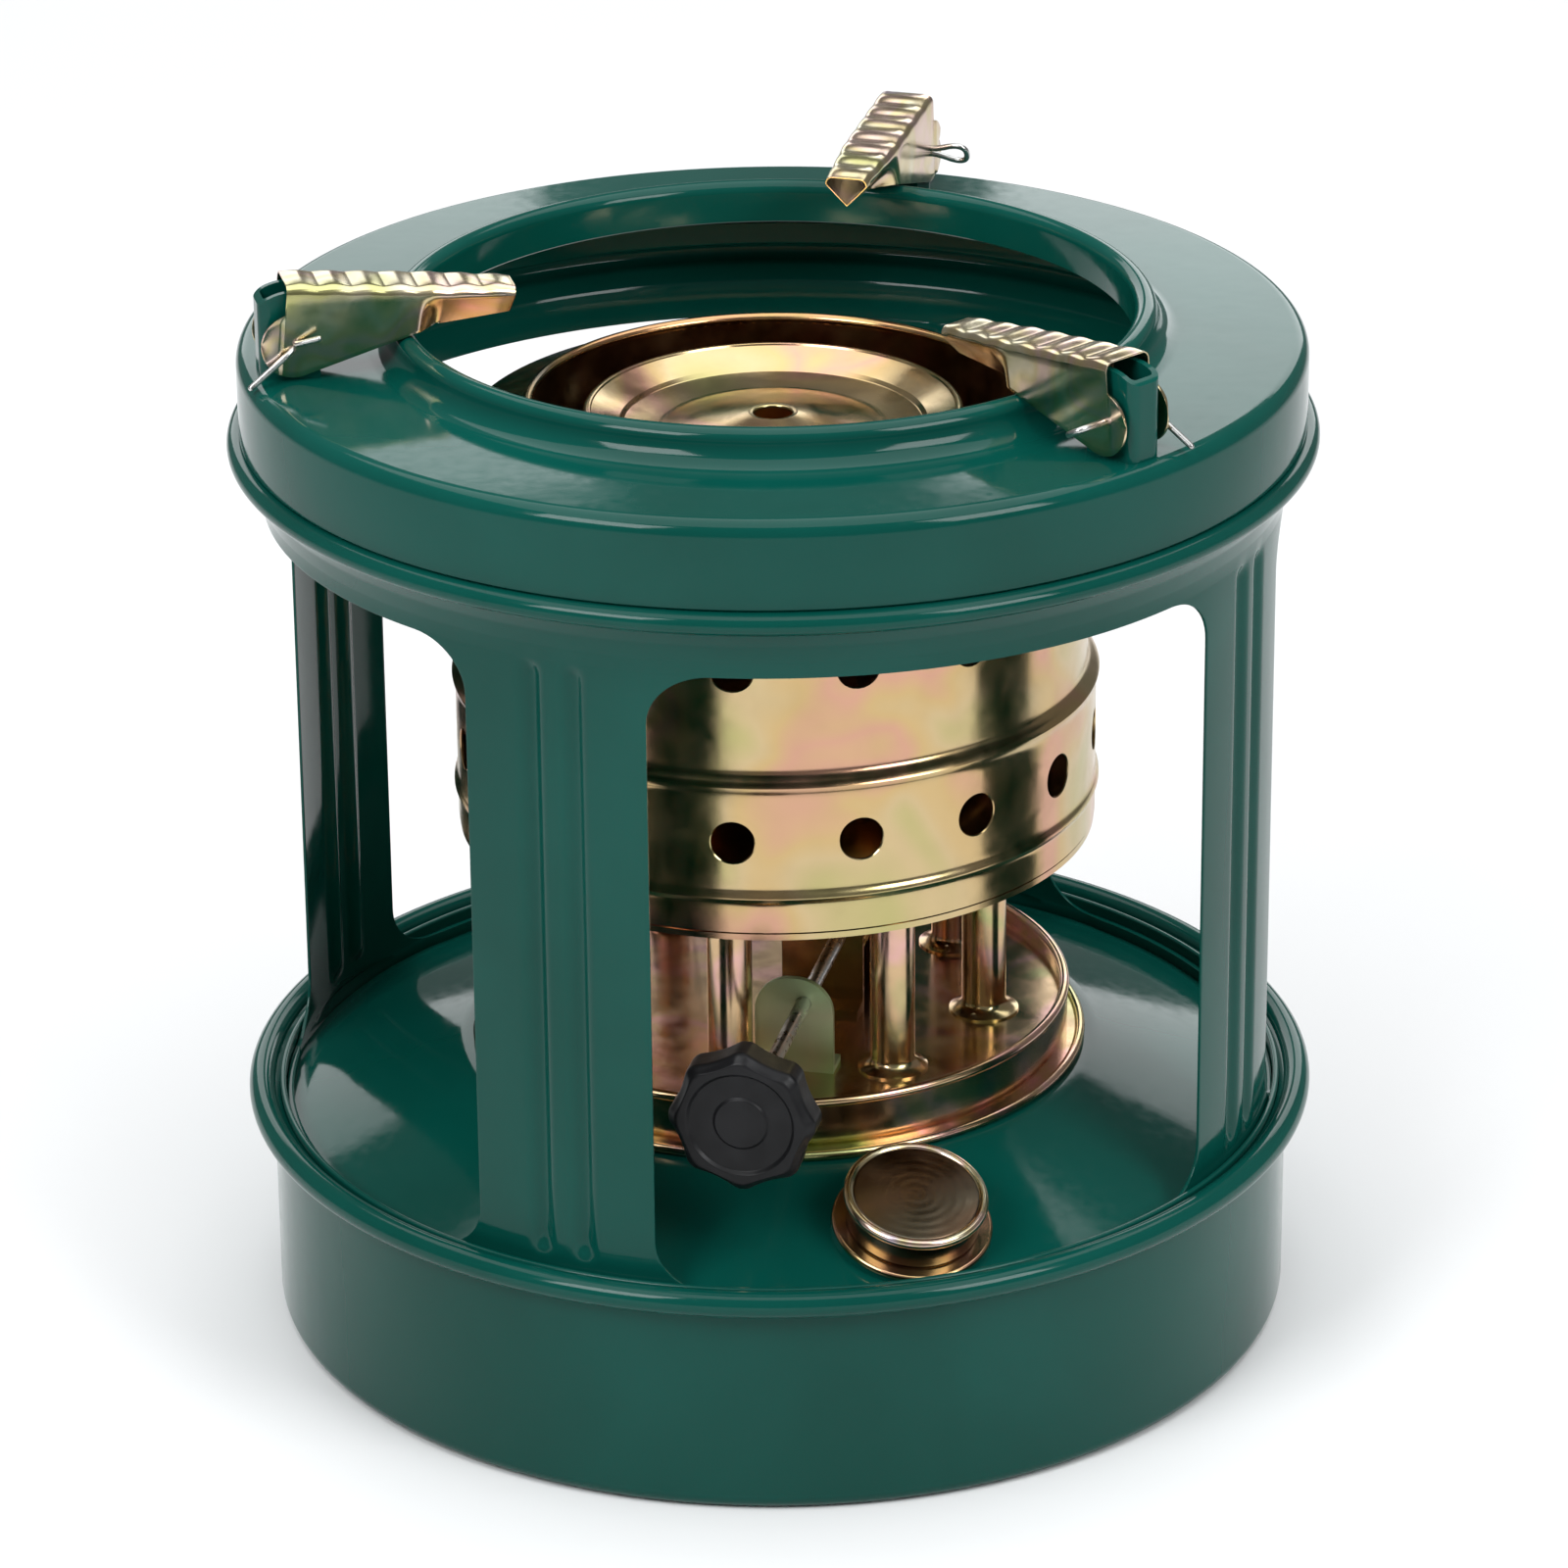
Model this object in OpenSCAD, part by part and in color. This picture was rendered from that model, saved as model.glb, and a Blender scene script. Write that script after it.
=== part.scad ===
// Tabletop kerosene wick stove: a round fuel tank, a four-legged frame, a lift-off top ring with
// three folding pot supports, and a burner whose wicks are raised by a knob, a pinion and a rack.
// Millimetres, +Z up. The origin is the middle of the tank's foot, and -Y is the front.
// An azimuth is an angle about +Z, counted from the front towards +X.

/* [Fuel tank] */
// Diameter over the rolled seam bead
rim_d = 210; // [204:1:222]
// Diameter of the tank wall
tank_d = 200.4; // [194:0.2:204]
// Height of the middle of the seam bead
seam_z = 45; // [43:0.5:47]
// Radius of the rolled seam bead
seam_r = 2.6; // [2.2:0.1:3]
// Sheet thickness of the tank
tank_t = 1.2; // [0.9:0.1:1.5]
// Radius of the corner at the foot of the tank
foot_r = 3; // [2:0.25:5]
// Width of the flat ring that the tank stands on
foot_w = 10; // [6:0.5:20]
// Height of the tank's floor above that ring
foot_rise = 1.5; // [0.5:0.25:3]
// Height of the groove that takes the leg frame
groove_z = 41.6; // [38:0.2:43]
// Width of the groove
groove_w = 3.2; // [2.4:0.1:5]
// Diameter of the flat seat under the burner
seat_d = 124; // [118:1:132]
// Height of the flat seat under the burner
seat_z = 53; // [49:0.5:56]
// Diameter of the hole in the seat
well_d = 104; // [98:1:108]

/* [Filler] */
// Azimuth of the filler
filler_az = -2.5; // [-12:0.5:10]
// Distance of the filler from the middle of the tank
filler_r = 79.5; // [76:0.5:81]
// Outside diameter of the filler neck
neck_d = 22; // [16:0.5:23]
// Wall of the filler neck
neck_t = 1.4; // [1:0.1:2]
// Height of the neck above its flange
neck_h = 4.6; // [3.5:0.2:8]
// Depth of the neck below its flange
neck_drop = 6; // [4:0.5:9]
// Diameter of the neck's flange
flange_d = 30.5; // [29:0.5:32]
// Thickness of the neck's flange
flange_t = 1.4; // [1:0.1:2.5]
// Inset of the pressed boss from the flange's edge
boss_inset = 0.5; // [0.25:0.25:1.5]
// Height of the boss above the cone at its middle
boss_h = 0.8; // [0.4:0.1:1.5]
// Diameter of the cap's side
cap_d = 25.4; // [25:0.2:28]
// Thickness of the cap's top and the seal's seat
cap_t = 1.2; // [1:0.1:2]
// Radius of the bead round the cap's top
cap_bead_r = 1; // [0.7:0.1:1.4]
// Thickness of the cap's seal
seal_t = 1.4; // [1:0.1:2.5]

/* [Leg frame] */
// Sheet thickness of the frame
frame_t = 1.2; // [1:0.1:1.6]
// Width of each leg, as an angle
leg_angle = 21.4; // [16:0.2:26]
// Height of the window openings' lower edge
window_low = 44; // [43:0.5:48]
// Height of the window openings' upper edge
window_high = 168; // [150:1:171]
// Corner radius of the windows
window_r = 10; // [5:0.5:16]
// Half the angle between the two grooves of a leg
rib_angle = 2.5; // [2.2:0.1:4.5]
// Radius of the groove's round section
rib_r = 3; // [2.2:0.1:3.5]
// Depth of the grooves
rib_depth = 1.1; // [0.6:0.1:1.4]
// Gap from the groove's upper end to the window's upper edge
rib_top_gap = 2; // [0:0.5:10]
// Gap from the groove's lower end to the window's lower edge
rib_low_gap = 6; // [5:0.5:20]
// Height of the band's widest part below the bead
band_h = 4.5; // [3:0.5:6]
// Height of the middle of the frame's rolled bead
bead_z = 180.2; // [176:0.2:184]
// Radius of the frame's rolled bead
bead_r = 2.1; // [1.7:0.1:2.5]
// Height of the collar that locates the top ring
collar_h = 7; // [4:0.5:10]

/* [Top ring] */
// Diameter of the skirt
skirt_d = 203.2; // [202:0.2:206]
// Sheet thickness of the top ring
ring_t = 1.2; // [1:0.1:1.5]
// Height of the plate's upper face
plate_z = 199.2; // [197:0.2:202]
// Radius of the corner between skirt and plate
ring_corner_r = 3; // [2:0.25:4]
// Diameter of the cooking opening
opening_d = 137; // [134:1:140]
// Height of the lip's crest above the plate
lip_h = 6.6; // [5.6:0.2:7]
// Radius of the lip's rounded crest
lip_r = 2.2; // [1.8:0.1:2.6]
// Depth of the lip's inner wall below the crest
lip_drop = 8.2; // [6:0.2:9]

/* [Pot supports] */
// Azimuth of the first support
support_az = 22.5; // [15:0.5:28]
// Number of supports
support_n = 3; // [3]
// Inset of the support's pivot from the skirt's outside
pivot_inset = 9.3; // [8.6:0.1:10.6]
// Height of the pivot above the plate
pivot_h = 7; // [6.8:0.1:8]
// Radius of the support's ears
ear_r = 6.2; // [5:0.1:6.4]
// Width of the support channel
channel_w = 10.6; // [9.6:0.1:12]
// Sheet thickness of the support
channel_t = 1; // [0.8:0.1:1.2]
// Height of the web's underside above the pivot
web_h = 10.2; // [10:0.1:11]
// Reach of the web past the pivot
web_back = 2; // [1:0.1:2.4]
// Reach of the support's tip from the pivot
tip_reach = 41.5; // [38:0.5:43]
// Width of the tip
tip_w = 8; // [6:0.1:9]
// Reach from the pivot to where the walls end and the nose starts
nose_reach = 25.5; // [25:0.1:28]
// Depth of the nose where it starts
nose_deep = 7.5; // [5:0.1:8]
// Depth of the nose at the tip
nose_shallow = 4.5; // [3:0.1:6]
// Ribs across the web
web_ribs = 7; // [5:1:8]
// Radius of the ribs
web_rib_r = 1.3; // [1:0.1:1.5]
// Height of the ribs above the web
web_rib_h = 0.7; // [0.4:0.1:0.9]
// Tilt of the web, tip down, with its edge on the lip
web_tilt = 5.5; // [4:0.25:6]
// Radius of the split pin
pin_r = 1.2; // [1:0.05:1.4]
// Radius of the wire in the split pin's eye and legs
pin_wire_r = 0.6; // [0.4:0.05:0.7]
// Radius of the split pin's eye
pin_eye_r = 2.6; // [1.6:0.1:3]
// Length of the split pin's long leg
pin_leg = 11; // [5:0.5:13]
// Sheet thickness of the bracket
bracket_t = 1.2; // [0.9:0.1:1.4]
// Radius of the bracket's bends
bracket_bend = 2.2; // [1.6:0.1:2.6]
// Reach of the bracket outwards from the pivot
bracket_out = 6.2; // [5.4:0.1:6.6]
// Reach of the bracket inwards from the pivot
bracket_in = 5; // [3.5:0.1:7]

/* [Burner base] */
// Diameter of the base's flange
base_flange_d = 121; // [116:0.5:123]
// Width of the flange outside the base's wall
base_flange_w = 3.5; // [3:0.25:5]
// Sheet thickness of the burner's pieces
base_t = 1.2; // [1:0.1:1.5]
// Height of the base's floor above the seat
base_floor_h = 7; // [6:0.2:9]
// Height of the base's rim above its floor
base_rim_h = 2.4; // [1.5:0.1:4]
// Radius of the beads at the rim and flange
base_bead_r = 1; // [0.8:0.1:1.3]

/* [Wicks and tubes] */
// Wicks and wick tubes
wick_n = 8; // [8]
// Azimuth of the first tube
wick_az = 11.5; // [9:0.5:14]
// Radius of the circle that the tubes stand on
tube_circle_r = 41.3; // [41:0.1:41.6]
// Outside diameter of a tube
tube_d = 8.6; // [8:0.1:8.8]
// Wall of a tube
tube_t = 0.6; // [0.5:0.05:0.8]
// Reach of a tube below the base's floor
tube_drop = 3; // [2:0.25:4]
// Diameter of the collar at a tube's foot
tube_collar_d = 13.6; // [12:0.2:14.4]
// Height of the collar at a tube's foot
tube_collar_h = 2.4; // [1.5:0.1:3]
// Reach of a tube above the tube plate
tube_top = 2.5; // [1.5:0.1:4]
// Play of a wick in its tube
wick_gap = 0.4; // [0.3:0.05:0.6]
// Height of a wick's lower end in the tank
wick_low = 6; // [4:0.5:10]

/* [Burner drum] */
// Height of the tube plate's upper face, the burner's seat
burner_z = 101.5; // [98:0.5:106]
// Diameter of the hole in the tube plate
plate_hole_d = 60; // [50:1:64]
// Sheet thickness of the burner's shells
shell_t = 0.8; // [0.6:0.1:1]
// Diameter of the drum's lower band
drum_low_d = 124; // [121:0.5:127]
// Diameter of the drum's upper cylinder
drum_high_d = 120.8; // [119:0.2:121]
// Height of the lower bead above the seat
drum_bead_h = 7.6; // [5:0.2:10]
// Height of the lower row of air holes above the seat
low_holes_h = 18.6; // [16:0.2:20]
// Height of the step between the two cylinders above the seat
drum_step_h = 30; // [28:0.2:34]
// Height of the upper row of air holes above the seat
high_holes_h = 52.5; // [48:0.5:60]
// Height of the drum's shoulder above the seat
shoulder_h = 77.5; // [74:0.5:80]
// Height of the outer sleeve's lip above the seat
flame_lip_h = 83.6; // [82:0.2:86]
// Air holes in a row
air_hole_n = 16; // [12:1:20]
// Diameter of the air holes
air_hole_d = 8.3; // [5:0.1:9]
// Azimuth of the first air hole
air_hole_az = -5.7; // [-11:0.1:11]
// Inside radius of the outer flame sleeve
outer_sleeve_r = 46; // [45.8:0.1:47]
// Outside radius of the inner flame sleeve
inner_sleeve_r = 36.3; // [34:0.1:36.5]
// Rows of small holes in a flame sleeve
pore_rows = 4; // [2:1:6]
// Small holes in a row
pore_n = 16; // [8:1:20]
// Diameter of the small holes
pore_d = 3; // [1.5:0.1:4]
// Height of the lowest row of small holes above the seat
pore_low = 16; // [10:1:30]
// Height between rows of small holes
pore_pitch = 14; // [6:0.5:14]
// Height of the inner sleeve above the seat
inner_h = 79; // [76:0.5:81]
// Height of the dish's wall above the inner sleeve
dish_wall = 2.6; // [2.2:0.1:3]
// Depth of the dish's groove below the middle of the rim's bead
dish_deep = 3.5; // [3:0.1:4]
// Radius of the dish's groove
dish_groove_r = 21.5; // [18:0.5:24]
// Rise of the dish's middle above its groove
dish_crown = 3.2; // [1:0.1:3.4]
// Radius of the step in the dish's slope
dish_step_r = 29; // [27:0.2:31]
// Height of the step's middle above the groove
dish_step_z = 1.4; // [1:0.1:1.8]
// Drop of the step
dish_step_h = 0.8; // [0.4:0.1:1]
// Diameter of the dish's centre hole
dish_hole_d = 7.4; // [5:0.1:12]
// Radius of the bead round the dish
dish_bead_r = 1; // [0.8:0.1:1.3]

/* [Control] */
// Azimuth that the control shaft points to
shaft_az = -33.5; // [-36:0.25:-31]
// Distance of the shaft from the burner's middle
shaft_off = 13; // [12.8:0.1:13.4]
// Height of the shaft above the base's floor
shaft_h = 14.4; // [13:0.2:16]
// Radius of the shaft
shaft_r = 1.5; // [1.3:0.05:1.7]
// Reach of the shaft's inner end past the rack's middle
shaft_in = 6.5; // [5.6:0.1:8]
// Distance of the knob's face from the rack's middle
knob_face = 89; // [84:0.5:90]
// Diameter of the knob
knob_d = 28; // [22:0.5:29]
// Depth of the knob
knob_depth = 8; // [6.5:0.5:10]
// Flutes round the knob
knob_flutes = 8; // [6:1:10]
// Radius of a flute
flute_r = 18; // [12:0.5:24]
// Depth of a flute
flute_depth = 1.2; // [0.8:0.1:1.5]
// Length of the brass bush behind the knob
bush_h = 9.5; // [8:0.25:11]
// Radius of the brass bush
bush_r = 5.2; // [4.4:0.1:6]
// Radius of the knob's screw
screw_r = 1.4; // [1:0.1:1.6]
// Reach of the screw's head past the bush
screw_out = 1.6; // [1:0.1:3]
// Distance of the guide plate from the rack's middle
guide_y = 34; // [32:0.2:34.2]
// Width of the guide plate
guide_w = 15.4; // [15:0.2:16]
// Shift of the guide plate's middle from the shaft
guide_shift = -1.9; // [-2:0.1:0]
// Height of the guide plate above the base's floor
guide_h = 19.5; // [18:0.5:23]
// Radius of the guide plate's upper corners
guide_r = 7.2; // [5:0.1:7.4]
// Reach of the feet of the guide plate and gear bracket
foot_reach = 5.2; // [4:0.1:6]
// Sheet thickness of the guide plate and gear bracket
bracket_sheet = 1.2; // [1:0.1:1.4]
// Gear module of rack and pinion
gear_m = 0.7; // [0.66:0.01:0.72]
// Teeth of the pinion
pinion_n = 14; // [14]
// Width of the pinion
pinion_w = 5; // [4:0.1:6]
// Play between the meshing teeth
backlash = 0.2; // [0.15:0.01:0.3]
// Thickness of the rack's back behind its teeth
rack_back = 4; // [3:0.1:5]
// Height of the rack's top above the shaft
rack_top = 6.5; // [5.5:0.25:9]
// Travel of the wicks
wick_travel = 16; // [10:0.5:16]
// Height of the carrier disc's underside with the wicks down
carrier_z = 36; // [30:0.5:37]
// Thickness of the carrier disc
carrier_t = 1.5; // [1:0.1:2]
// Radius of the carrier disc
carrier_r = 47; // [46:0.1:48.5]
// Height of the gear bracket above the base's floor
gear_bracket_h = 23; // [20:0.5:26]

/* [Fits] */
// Gap between seated sheet pieces
seam_gap = 0.1; // [0.05:0.01:0.2]
// Gap between the leg frame and its groove
frame_gap = 0.2; // [0.1:0.05:0.3]
// Gap round pieces that lift off
lift_gap = 0.3; // [0.25:0.05:0.5]
// Gap under pieces that lift off
seat_gap = 0.2; // [0.1:0.05:0.3]
// Radial play of a turning fit
turn_gap = 0.06; // [0.03:0.01:0.1]
// Radial gap of a fixed fit
fixed_gap = 0.03; // [0.02:0.01:0.05]
// Side play of moving sheet pieces
side_gap = 0.35; // [0.3:0.05:0.45]

/* [Hidden] */
$fn = 96;
eps = 0.5;
enamel = "darkgreen";
zinc = "goldenrod";
steel = "silver";
brass = "gold";

// Tank
rim_r = rim_d / 2;
tank_r = tank_d / 2;
seam_c = rim_r - seam_r;
floor_top = foot_rise + tank_t;
top_r = tank_r - tank_t - seam_gap;
groove_r = top_r - tank_t;
cone_out = groove_r - groove_w;
cone_in = seat_d / 2;
cone_angle = atan2(seat_z - groove_z, cone_out - cone_in);
filler_z = seat_z - (filler_r - cone_in) * tan(cone_angle);
neck_r = neck_d / 2;
cap_r = cap_d / 2;
boss_r = flange_d / 2 - boss_inset;
flange_z = boss_h;
neck_top = flange_z + flange_t + neck_h;
cap_low = flange_z + flange_t + seat_gap;
seal_z = neck_top + seat_gap;
cap_top = seal_z + seal_t + cap_t;

// Frame and top ring
leg_r = groove_r - frame_gap;
skirt_r = skirt_d / 2;
collar_r = skirt_r - ring_t - lift_gap;
bead_c = collar_r + bead_r - frame_t / 4;
bead_top = bead_z + bead_r;
skirt_z = bead_top + seat_gap;
rib_c = leg_r - rib_depth + rib_r;
opening_r = opening_d / 2;
lip_c = opening_r + lip_r;
lip_z = plate_z + lip_h - lip_r;
lip_fillet = lip_h - lip_r;
fillet_c = lip_c + lip_r + lip_fillet;

// Supports
pivot_r = skirt_r - pivot_inset;
pivot_z = plate_z + pivot_h;
inner_w = channel_w - 2 * channel_t;
bracket_w = inner_w - 2 * side_gap;
bracket_swing = web_h - lift_gap;
support_step = 360 / support_n;
lip_dx = lip_c - pivot_r;
lip_dz = lip_z + lip_r + lift_gap - pivot_z;
rest_x = lip_dx * cos(web_tilt) + lip_dz * sin(web_tilt);
rest_z = lip_dz * cos(web_tilt) - lip_dx * sin(web_tilt);
rest_d = norm([rest_x, rest_z]);
edge_angle = atan2(-rest_z, -rest_x) - asin(ear_r / rest_d);
rib_pitch = (tip_reach + web_back) / web_ribs;
pin_eye_turn = 60;
pin_long_turn = [-12, 125, 0];
pin_short_turn = [-25, -70, 0];

// Burner
base_r = base_flange_d / 2 - base_flange_w;
floor_z = seat_z + base_floor_h;
floor_up = floor_z + base_t;
rim_z = floor_up + base_rim_h;
tube_r = tube_d / 2;
tube_bore = tube_r - tube_t;
tube_low = floor_z - tube_drop;
tube_high = burner_z + tube_top;
wick_r = tube_bore - wick_gap;
wick_step = 360 / wick_n;
shell_z = burner_z + seat_gap;
drum_low_r = drum_low_d / 2;
drum_high_r = drum_high_d / 2;
step_z = burner_z + drum_step_h;
step_r = drum_low_r - drum_high_r + shell_t;
shoulder_z = burner_z + shoulder_h;
flame_lip_z = burner_z + flame_lip_h;
sleeve_out = outer_sleeve_r + shell_t;
annulus_r = sleeve_out + lift_gap;
lip_bead_r = shell_t + lift_gap;
plate_r = drum_low_r - seat_gap;
dish_z = burner_z + inner_h;

// Control
shaft_z = floor_up + shaft_h;
pitch_r = gear_m * pinion_n / 2;
addendum = 0.75 * gear_m;
dedendum = 1.25 * gear_m;
pressure = 20;
rack_pitch = PI * gear_m;
rack_x = shaft_off - pitch_r;
rack_root = rack_x - dedendum;
rack_rear = rack_root - rack_back;
rack_w = pinion_w + 0.2;
rack_high = shaft_z + rack_top;
rack_low = carrier_z + carrier_t;
cheek_in = rack_w / 2 + side_gap;
cheek_out = cheek_in + bracket_sheet;
knob_back = knob_face - knob_depth;
bush_back = knob_back - bush_h;
screw_y = knob_back - bush_h / 2;
bush_y = knob_face - knob_depth / 2;

// A ring between two radii, standing on z = 0.
module ring(outer, inner, h) {
    difference() {
        cylinder(r = outer, h = h);
        translate([0, 0, -eps]) cylinder(r = inner, h = h + 2 * eps);
    }
}

// A box in half section: radii first, heights second.
module band(r0, r1, z0, z1) {
    translate([r0, z0]) square([r1 - r0, z1 - z0]);
}

// A rectangle with round corners, its middle at the origin.
module soft_rectangle(w, h, r) {
    square([w - 2 * r, h], center = true);
    square([w, h - 2 * r], center = true);
    for (x = [-1, 1], y = [-1, 1]) translate([x * (w / 2 - r), y * (h / 2 - r)]) circle(r);
}

// Children placed at an azimuth, with local -Y pointing outwards.
module at_azimuth(az) {
    rotate([0, 0, az]) children();
}

// The filler's own frame: on the cone, +Z along the cone's normal.
module at_filler() {
    at_azimuth(filler_az) translate([0, -filler_r, filler_z]) rotate([cone_angle, 0, 0]) children();
}

// A support's own frame: the pivot at the origin, +X outwards, +Z up.
module at_pivot(i) {
    rotate([0, 0, support_az + (i - 1) * support_step - 90]) translate([pivot_r, 0, pivot_z]) children();
}

// A wick tube's own frame, at floor level.
module at_tube(i) {
    at_azimuth(wick_az + (i - 1) * wick_step) translate([0, -tube_circle_r, 0]) children();
}

// The control's own frame: the shaft lies along Y at x = shaft_off, the knob towards -Y.
module at_control() {
    at_azimuth(shaft_az) children();
}

// A round bar along Y on the shaft's axis, from y0 to y1 with y1 further out.
module on_shaft(r, y0, y1) {
    translate([shaft_off, -y0, shaft_z]) rotate([90, 0, 0]) cylinder(r = r, h = y1 - y0);
}

module tank_pan() {
    color(enamel) rotate_extrude() difference() {
        union() {
            band(0, tank_r, foot_r, seam_z);
            band(0, tank_r - foot_r, 0, foot_r + eps);
            translate([tank_r - foot_r, foot_r]) circle(foot_r);
            band(tank_r - tank_t, seam_c, seam_z - seam_r, seam_z);
            translate([seam_c, seam_z]) circle(seam_r);
        }
        band(0, tank_r - tank_t, floor_top, seam_z + 2 * seam_r);
        band(0, tank_r - foot_r - foot_w, -eps, foot_rise);
    }
}

module tank_top_section() {
    polygon([
        [well_d / 2, seat_z - tank_t], [cone_in, seat_z - tank_t], [cone_out, groove_z - tank_t],
        [top_r, groove_z - tank_t], [top_r, seam_z + seam_r / 2], [groove_r, seam_z + seam_r / 2],
        [groove_r, groove_z], [cone_out, groove_z], [cone_in, seat_z], [well_d / 2, seat_z]
    ]);
}

module tank_top() {
    color(enamel) difference() {
        union() {
            rotate_extrude() tank_top_section();
            at_filler() translate([0, 0, -tank_t / 2]) cylinder(r = boss_r, h = boss_h + tank_t / 2);
        }
        at_filler() translate([0, 0, -neck_drop]) cylinder(r = neck_r + seam_gap, h = 2 * neck_drop);
    }
}

module filler_neck() {
    color(zinc) at_filler() rotate_extrude() difference() {
        union() {
            band(0, neck_r, flange_z - neck_drop, neck_top);
            band(0, flange_d / 2, flange_z, flange_z + flange_t);
        }
        band(0, neck_r - neck_t, flange_z - neck_drop - eps, neck_top + eps);
    }
}

module filler_cap() {
    color(zinc) at_filler() rotate_extrude() difference() {
        union() {
            band(0, cap_r, cap_low, cap_top);
            translate([cap_r, cap_top - cap_bead_r]) circle(cap_bead_r);
        }
        band(0, neck_r + lift_gap, cap_low - eps, seal_z + seal_t);
    }
}

module cap_seal() {
    color("dimgray") at_filler() translate([0, 0, seal_z]) cylinder(r = neck_r, h = seal_t);
}

// The frame's sheet in half section: leg tube, flared band, rolled bead and collar.
module frame_section() {
    polygon([
        [leg_r - frame_t, groove_z], [leg_r, groove_z], [leg_r, window_high],
        [leg_r + frame_t, bead_z - bead_r - band_h], [bead_c, bead_z - bead_r],
        [bead_c, bead_z], [collar_r, bead_z], [collar_r, bead_z + collar_h],
        [collar_r - frame_t, bead_z + collar_h], [collar_r - frame_t, bead_z - bead_r - band_h / 3],
        [leg_r - frame_t, window_high]
    ]);
    translate([bead_c, bead_z]) circle(bead_r);
}

// The round bar that presses one groove into a leg.
module groove_bar(r) {
    low = window_low + rib_low_gap;
    high = window_high - rib_top_gap;
    translate([0, -rib_c, low]) cylinder(r = r, h = high - low);
    translate([0, -rib_c, low]) sphere(r);
    translate([0, -rib_c, high]) sphere(r);
}

// One window opening through the front and the back of the frame.
module window_pair() {
    half = leg_r * sin(45 - leg_angle / 2);
    mid = (window_low + window_high) / 2;
    translate([0, rim_r, mid]) rotate([90, 0, 0]) linear_extrude(2 * rim_r)
        soft_rectangle(2 * half, window_high - window_low, window_r);
}

module leg_frame() {
    color(enamel) difference() {
        union() {
            rotate_extrude() frame_section();
            for (leg = [0:3], side = [-1, 1]) at_azimuth(45 + 90 * leg + side * rib_angle)
                intersection() {
                    groove_bar(rib_r + frame_t);
                    translate([0, 0, window_low]) cylinder(r = leg_r - frame_t / 2, h = window_high);
                }
        }
        for (turn = [0, 90]) at_azimuth(turn) window_pair();
        for (leg = [0:3], side = [-1, 1]) at_azimuth(45 + 90 * leg + side * rib_angle) groove_bar(rib_r);
    }
}

// The top ring's sheet in half section, from the skirt over the plate to the lip's inner wall.
module ring_section() {
    corner_c = skirt_r - ring_corner_r;
    band(skirt_r - ring_t, skirt_r, skirt_z, plate_z - ring_corner_r);
    intersection() {
        translate([corner_c, plate_z - ring_corner_r]) difference() {
            circle(ring_corner_r);
            circle(ring_corner_r - ring_t);
        }
        band(corner_c, skirt_r, plate_z - ring_corner_r, plate_z);
    }
    band(fillet_c, corner_c, plate_z - ring_t, plate_z);
    intersection() {
        translate([fillet_c, lip_z]) difference() {
            circle(lip_fillet + ring_t);
            circle(lip_fillet);
        }
        band(lip_c, fillet_c, plate_z - ring_t, lip_z);
    }
    intersection() {
        translate([lip_c, lip_z]) difference() {
            circle(lip_r);
            circle(lip_r - ring_t);
        }
        band(opening_r, lip_c + lip_r, lip_z, lip_z + lip_r);
    }
    band(opening_r, opening_r + ring_t, lip_z + lip_r - lip_drop, lip_z);
}

module top_ring() {
    color(enamel) rotate_extrude() ring_section();
}

// The outline of a bracket's ear, within the swing of the support's web.
module bracket_outline() {
    intersection() {
        translate([-bracket_in, -pivot_h]) square([bracket_in + bracket_out, pivot_h + bracket_swing]);
        union() {
            circle(bracket_swing);
            translate([-bracket_in, -pivot_h]) square([bracket_in + bracket_out, pivot_h]);
        }
    }
}

// Children stood up in a support's radial plane, at thickness t about y = 0.
module upright(t) {
    rotate([90, 0, 0]) translate([0, 0, -t / 2]) linear_extrude(t) children();
}

// A bracket from above: square inwards, with round bends at its outer end.
module bracket_plan(w, inner, outer, r) {
    translate([-inner, -w / 2]) square([inner + outer - r, w]);
    translate([outer / 2, 0]) soft_rectangle(outer, w, r);
}

module bracket(i) {
    slot_w = bracket_w - 2 * bracket_t;
    tall = pivot_h + bracket_swing;
    color(enamel) at_pivot(i) difference() {
        intersection() {
            upright(bracket_w) bracket_outline();
            translate([0, 0, -pivot_h]) linear_extrude(tall)
                bracket_plan(bracket_w, bracket_in, bracket_out, bracket_bend);
        }
        translate([0, 0, bracket_t - pivot_h]) linear_extrude(tall)
            bracket_plan(slot_w, bracket_in + eps, bracket_out - bracket_t, bracket_bend - bracket_t);
        rotate([90, 0, 0]) cylinder(r = pin_r + fixed_gap, h = 2 * bracket_w, center = true);
    }
}

module split_pin(i) {
    end = channel_w / 2 + side_gap + pin_wire_r;
    color(steel) at_pivot(i) {
        rotate([90, 0, 0]) cylinder(r = pin_r, h = 2 * end, center = true);
        translate([0, -end - pin_eye_r, 0]) rotate([0, pin_eye_turn, 0])
            rotate_extrude() translate([pin_eye_r, 0]) circle(pin_wire_r);
        translate([0, end, 0]) {
            rotate(pin_long_turn) cylinder(r = pin_wire_r, h = pin_leg);
            rotate(pin_short_turn) cylinder(r = pin_wire_r, h = pin_leg / 2);
            sphere(pin_r);
        }
    }
}

// The side wall of a support in its own straight frame: the ear and the tapering wall.
module support_wall() {
    edge = [-ear_r * sin(edge_angle + 180), ear_r * cos(edge_angle + 180)];
    low = edge[1] + (edge[0] + nose_reach) * tan(-edge_angle);
    circle(ear_r);
    polygon([[-nose_reach, low], [-nose_reach, web_h], [web_back, web_h], [web_back, 0], edge]);
}

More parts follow.
